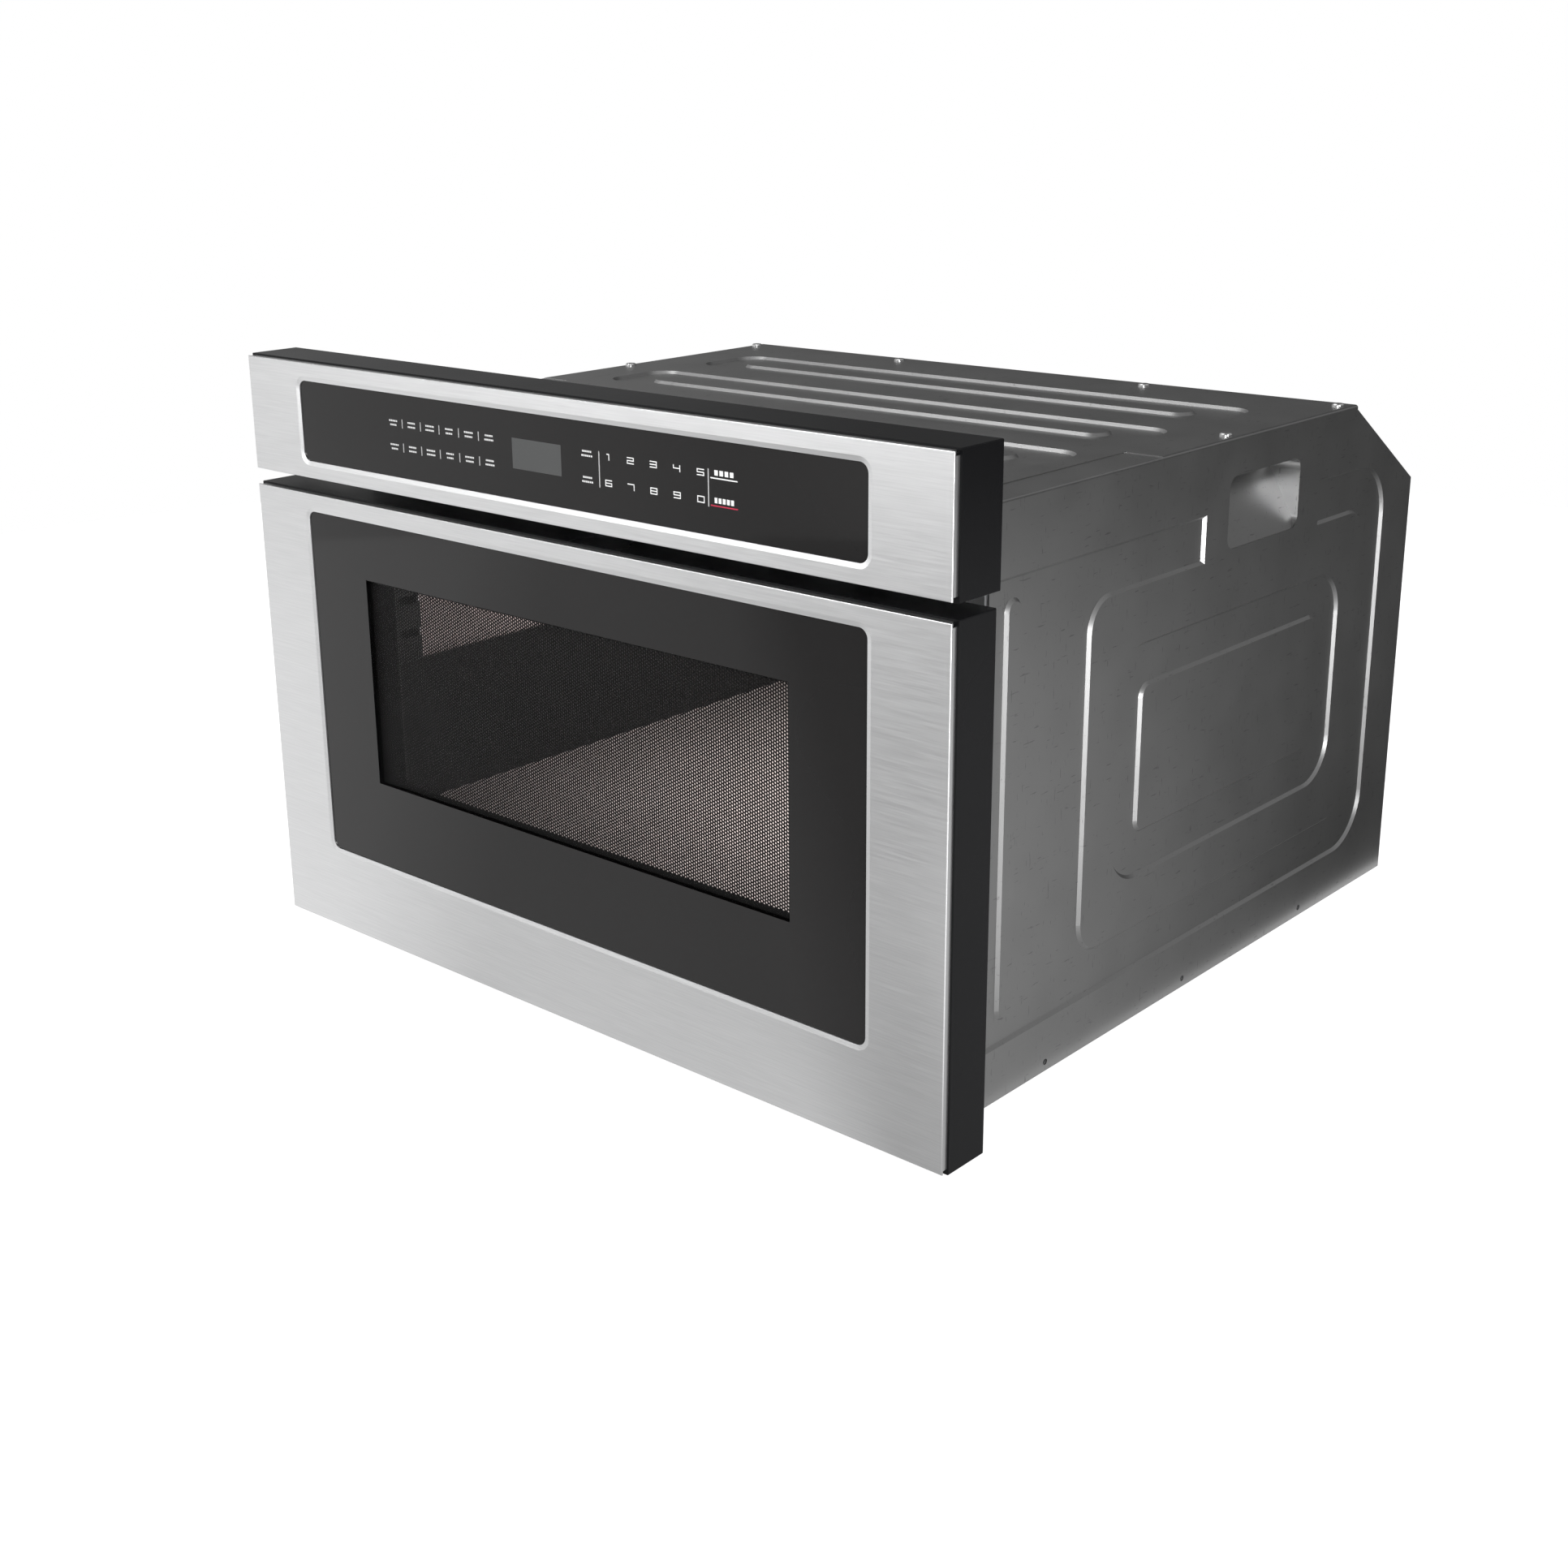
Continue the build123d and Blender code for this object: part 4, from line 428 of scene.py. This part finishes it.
# The keys' printing on the control glass. Sizes in millimetres, heights above the floor.
panelPrint = {
    "thick": 0.05, "line": 0.75, "display": (-33.5, 9.7, 359.7, 378.4),
    "labelColumns": (-146.9, -128.8, -110.7, -92.1, -73.5, -54.6), "labelRows": (375.9, 360.5),
    "labelWide": (8.5, 6.5), "labelLift": 1.3, "labelDashes": 5,
    "sideLabels": 31.9, "sideWide": (8.0, 9.5), "sideDashes": 6,
    "dashHigh": 1.1, "dashShare": 0.68,
    "dividers": (-137.9, -119.8, -101.6, -82.9, -64.2), "dividerHigh": 5.7,
    "longDividers": (42.1, 129.1), "longDividerHigh": 21.4, "middle": 367.7,
    "digitFirst": 49.6, "digitPitch": 18.4, "digitRows": (375.7, 360.4), "digitsInRow": 5,
    "digitWide": 5.6, "oneWide": 2.2, "digitHigh": 3.9, "stroke": 0.62,
    "keyMiddle": 140.9, "keyWords": (376.6, 361.1), "wordWide": 15.5, "wordHigh": 3.0,
    "wordBlocks": (4, 5), "underlines": (373.5, 358.0), "underlineWide": 20.3, "underlineHigh": 0.7,
}
inks = {
    "white": (0.86, 0.86, 0.86), "grey": (0.5, 0.5, 0.5), "crimson": (0.5, 0.01, 0.05),
    "display": (0.06, 0.062, 0.062), "darker": 0.85, "fleck": 1500, "rough": 0.45, "rougher": 0.15,
}
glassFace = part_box("control_glass")[0].y


def flatSheet(middle, size, cells=(1, 1)):
    mesh = bmesh.new()
    bmesh.ops.create_grid(mesh, x_segments=cells[0], y_segments=cells[1], size=0.5)
    spread = Matrix.Diagonal((size[0] * mm, size[1] * mm, 1, 1))
    turn = Matrix.Rotation(math.radians(90), 4, "X")
    place = Matrix.Translation(Vector((middle[0] * mm, glassFace, middle[1] * mm)))
    bmesh.ops.transform(mesh, matrix=place @ turn @ spread, verts=mesh.verts)
    return mesh


def printed(name, meshes, finish):
    whole = bpy.data.meshes.new(name)
    joined = bmesh.new()
    for mesh in meshes:
        mesh.to_mesh(whole)
        joined.from_mesh(whole)
        mesh.free()
    raised = bmesh.ops.extrude_face_region(joined, geom=joined.faces[:])
    lifted = [item for item in raised["geom"] if isinstance(item, bmesh.types.BMVert)]
    bmesh.ops.translate(joined, verts=lifted, vec=(0, -panelPrint["thick"] * mm, 0))
    bmesh.ops.recalc_face_normals(joined, faces=joined.faces)
    joined.to_mesh(whole)
    joined.free()
    piece = bpy.data.objects.new(name, whole)
    bpy.context.scene.collection.objects.link(piece)
    whole.materials.append(finish)
    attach(piece, "cabinet")


# A digit is the cells that are kept of a grid of three columns and five rows, counted from below.
digitCells = (3, 5)
digitShapes = {
    "0": "111 101 101 101 111", "1": "001 001 001 001 111", "2": "111 100 111 001 111",
    "3": "111 001 111 001 111", "4": "001 001 111 101 101", "5": "111 001 111 100 111",
    "6": "111 101 111 100 111", "7": "001 001 001 001 111", "8": "111 101 111 101 111",
    "9": "111 001 111 101 111",
}


def digit(sign, x, z):
    wide = panelPrint["oneWide" if sign == "1" else "digitWide"]
    high, stroke = panelPrint["digitHigh"], panelPrint["stroke"]
    mesh = flatSheet((x, z), (wide, high), digitCells)
    columns = (-wide / 2, stroke - wide / 2, wide / 2 - stroke, wide / 2)
    rows = (-high / 2, stroke - high / 2, -stroke / 2, stroke / 2, high / 2 - stroke, high / 2)
    for vert in mesh.verts:
        across = round((vert.co.x / mm - x + wide / 2) / wide * digitCells[0])
        up = round((vert.co.z / mm - z + high / 2) / high * digitCells[1])
        vert.co.x = (x + columns[across]) * mm
        vert.co.z = (z + rows[up]) * mm
    shape = digitShapes[sign].split()
    empty = []
    for face in mesh.faces:
        centre = face.calc_center_median() / mm
        across = sum(centre.x - x > edge for edge in columns[1:-1])
        up = sum(centre.z - z > edge for edge in rows[1:-1])
        if shape[up][across] == "0":
            empty.append(face)
    bmesh.ops.delete(mesh, geom=empty, context="FACES")
    return mesh


def dashes(x, z, wide, high, count):
    pitch = wide / count
    start = x - wide / 2 + pitch / 2
    size = (pitch * panelPrint["dashShare"], high)
    return [flatSheet((start + i * pitch, z), size) for i in range(count)]


def digits():
    p = panelPrint
    sheets = []
    for row, z in enumerate(p["digitRows"]):
        for i in range(p["digitsInRow"]):
            sign = str((p["digitsInRow"] * row + i + 1) % 10)
            sheets.append(digit(sign, p["digitFirst"] + i * p["digitPitch"], z))
    return sheets


# Two rows of small blocks stand for each key's caption, their lengths varying from key to key.
def keyMarks():
    p = panelPrint
    lift, high = p["labelLift"], p["dashHigh"]
    upper, lower = p["labelWide"]
    marks = []
    for z in p["labelRows"]:
        for i, x in enumerate(p["labelColumns"]):
            count = p["labelDashes"] + i % 3
            marks += dashes(x, z + lift, upper - i % 2, high, count)
            marks += dashes(x, z - lift, lower + i % 3, high, count)
        for shift, wide in zip((lift, -lift), p["sideWide"]):
            marks += dashes(p["sideLabels"], z + shift, wide, high, p["sideDashes"])
    return marks


def keyWords():
    p = panelPrint
    words = []
    for z, count in zip(p["keyWords"], p["wordBlocks"]):
        words += dashes(p["keyMiddle"], z, p["wordWide"], p["wordHigh"], count)
    return words


def keyDividers():
    p = panelPrint
    short, long = (p["line"], p["dividerHigh"]), (p["line"], p["longDividerHigh"])
    lines = [flatSheet((x, z), short) for z in p["labelRows"] for x in p["dividers"]]
    return lines + [flatSheet((x, p["middle"]), long) for x in p["longDividers"]]


def printMaterial(name, colour):
    finish = Finish(name)
    fleck = finish.noise(inks["fleck"])
    darker = tuple(c * inks["darker"] for c in colour)
    finish.set("Base Color", finish.blend(fleck, darker, colour))
    finish.set("Roughness", inks["rough"] + inks["rougher"] * fleck)
    return finish.material


def panelMarks():
    p = panelPrint
    white = printMaterial("whitePrint", inks["white"])
    grey = printMaterial("greyPrint", inks["grey"])
    crimson = printMaterial("crimsonPrint", inks["crimson"])
    display = printMaterial("displayFace", inks["display"])
    printed("digits", digits(), white)
    printed("keyMarks", keyMarks(), white)
    printed("keyWords", keyWords(), white)
    printed("keyDividers", keyDividers(), grey)
    size = (p["underlineWide"], p["underlineHigh"])
    openLine, closeLine = (flatSheet((p["keyMiddle"], z), size) for z in p["underlines"])
    printed("openLine", [openLine], white)
    printed("closeLine", [closeLine], crimson)
    left, right, low, high = p["display"]
    face = flatSheet(((left + right) / 2, (low + high) / 2), (right - left, high - low))
    printed("displayFace", [face], display)


panelMarks()
print("control glass printed")


# Camera at the photograph's angle.
shot = {
    "place": (0.90516, -1.11474, 0.58906),
    "right": (0.741152, 0.671224, -0.012306), "up": (-0.193480, 0.231118, 0.953494),
    "lens": 47.391, "shift": (0.02415, -0.04067), "sensor": 36, "clip": (0.05, 60),
}


def makeCamera():
    lens = bpy.data.cameras.new("photoCamera")
    lens.sensor_width = shot["sensor"]
    lens.lens = shot["lens"]
    lens.shift_x, lens.shift_y = shot["shift"]
    lens.clip_start, lens.clip_end = shot["clip"]
    camera = bpy.data.objects.new("photoCamera", lens)
    bpy.context.scene.collection.objects.link(camera)
    right, up = Vector(shot["right"]), Vector(shot["up"])
    turn = Matrix((right, up, right.cross(up))).transposed().to_4x4()
    camera.matrix_world = Matrix.Translation(shot["place"]) @ turn
    bpy.context.scene.camera = camera


# The floor looks white, but metal and glass see it graded. In front it goes from dim at the right
# to pale at the left, and it is white again far ahead on the right. Beside the cabinet's right side
# it goes from pale at the front to dim at the rear, and paler with distance.
# Each grade has the millimetres where it starts and ends, then its brightness on the way.
floorLook = {
    "radius": 1.7, "segments": 96, "grey": 0.62, "rough": 0.9, "white": 0.83, "glow": 1.2,
    "front": (1000, -1000, (0.1, 0.26), (0.2, 0.3), (0.25, 0.62), (0.4, 0.64), (0.48, 0.88), (0.6, 0.92)),
    "frontRight": 280, "frontRear": -260,
    "side": (-250, 250, (0.05, 0.62), (0.5, 0.35), (0.95, 0.1)),
    "sideFar": (250, 1150, (0, 0.65), (0.6, 1.0)), "sideLeft": 200, "sideFace": 270, "sideSlope": 1.23,
    "ahead": (600, 750, (0, 0), (1, 1)), "aheadLeft": (-60, 100, (0, 0), (1, 1)),
}


def makeStage():
    look = floorLook
    mesh = bpy.data.meshes.new("floor")
    floor = bmesh.new()
    bmesh.ops.create_circle(floor, cap_ends=True, segments=look["segments"], radius=look["radius"])
    floor.to_mesh(mesh)
    floor.free()
    stage = bpy.data.objects.new("floor", mesh)
    bpy.context.scene.collection.objects.link(stage)
    paint = Finish(
        "floorPaint", Base_Color=(look["grey"],) * 3, Roughness=look["rough"],
        Specular_IOR_Level=0.0, Emission_Color=(1.0, 1.0, 1.0))
    ray = paint.node("ShaderNodeLightPath", output="Is Camera Ray")
    paint.set("Emission Strength", ray.higher(ray.out("Is Transmission Ray")) * look["white"])
    x, y = paint.millimetres("X"), paint.millimetres("Y")
    front = paint.graded(x - y, *look["front"])
    front = front * (x < look["frontRight"]).higher(y < look["frontRear"])
    side = paint.graded(y - (x - look["sideFace"]) * look["sideSlope"], *look["side"])
    side = side * paint.graded(x, *look["sideFar"]) * (x > look["sideLeft"])
    ahead = paint.graded(x - y, *look["ahead"]) * paint.graded(x, *look["aheadLeft"])
    strength = front.higher(side).higher(ahead) * look["glow"]
    sockets = {"Color": (1.0, 1.0, 1.0), "Strength": strength}
    glow = paint.node("ShaderNodeEmission", None, sockets)
    lit = Wire(paint, paint.shader.outputs[0])
    both = paint.node("ShaderNodeMixShader", None, (ray.out("Is Glossy Ray"), lit, glow))
    paint.fill(paint.tree.nodes["Material Output"].inputs["Surface"], both)
    mesh.materials.append(paint.material)


# The sky looks white and lights evenly, but metal and glass see it graded: dim towards the rear
# right, with a dimmer band across and less light from above, apart from some on the right.
skyLook = {
    "even": 0.5, "tilt": 0.7, "backward": (0.6, 0.8),
    "across": (1, -1, (0, 1.0), (0.4, 0.85), (0.47, 0.58), (0.56, 0.82), (0.62, 1.0)),
    "behind": (1, -1, (0.1, 0.1), (0.38, 0.1), (0.5, 0.27), (0.85, 1.0)),
    "upward": ((0.2, 1), (0.7, 0.55)),
    "overhead": ((0.1, 0), (0.5, 0.42)), "overheadRight": ((0, 0), (0.4, 1)),
}


def makeSky():
    look = skyLook
    world = bpy.data.worlds.new("studio")
    bpy.context.scene.world = world
    world.use_nodes = True
    air = Graph(world.node_tree)
    way = air.node("ShaderNodeTexCoord", output="Generated")
    x = air.node("ShaderNodeSeparateXYZ", None, (way,))
    y, z = x.out("Y"), x.out("Z")
    shine = air.graded((x - y) * look["tilt"], *look["across"])
    shine = shine * air.graded(x * look["backward"][0] + y * look["backward"][1], *look["behind"])
    shine = shine * air.ramp(z, *look["upward"])
    shine = shine + air.ramp(z, *look["overhead"]) * air.ramp(x, *look["overheadRight"])
    ray = air.node("ShaderNodeLightPath", output="Is Camera Ray")
    white = ray.higher(ray.out("Is Transmission Ray"))
    glossy = ray.out("Is Glossy Ray")
    level = white + (1 - white) * (glossy * shine + (1 - glossy) * look["even"])
    sky = air.tree.nodes["Background"]
    air.fill(sky.inputs["Color"], (1, 1, 1))
    air.fill(sky.inputs["Strength"], level)


# Each lamp's place, the point it faces, its width and height in metres, and its watts.
lamps = {
    "keySoftbox": ((-1.1, -1.2, 2.2), (0, 0, 0.2), (1.0, 1.0), 20),
    "frontSoftbox": ((-0.95, -1.95, 0.44), (0, -0.3, 0.3), (1.4, 0.28), 5),
    "pocketSoftbox": ((0.77, -1.05, 0.82), (0.29, 0.13, 0.38), (0.25, 0.25), 8),
    "sideSoftbox": ((1.25, -0.5, 0.16), (0.27, 0, 0.2), (0.3, 0.3), 6),
    "topSoftbox": ((-0.6, 0.4, 2.2), (0, 0, 0.3), (1.4, 1.4), 8),
    "ovenLamp": ((0, 0, 0.252), (0, 0, 0), (0.3, 0.3), 0.56),
    "ovenSide": ((0.19, 0, 0.235), (-0.2, 0, 0.21), (0.3, 0.03), 0.95),
}


def areaLight(name, place, target, size, power):
    lamp = bpy.data.lights.new(name, "AREA")
    lamp.shape = "RECTANGLE"
    lamp.size, lamp.size_y = size
    lamp.energy = power
    light = bpy.data.objects.new(name, lamp)
    bpy.context.scene.collection.objects.link(light)
    light.location = place
    light.rotation_euler = (Vector(target) - Vector(place)).to_track_quat("-Z", "Y").to_euler()
    light.visible_camera = False


makeCamera()
makeStage()
makeSky()
for name, settings in lamps.items():
    areaLight(name, *settings)
bpy.context.scene.view_settings.view_transform = "Standard"
print("camera, floor and lights placed")
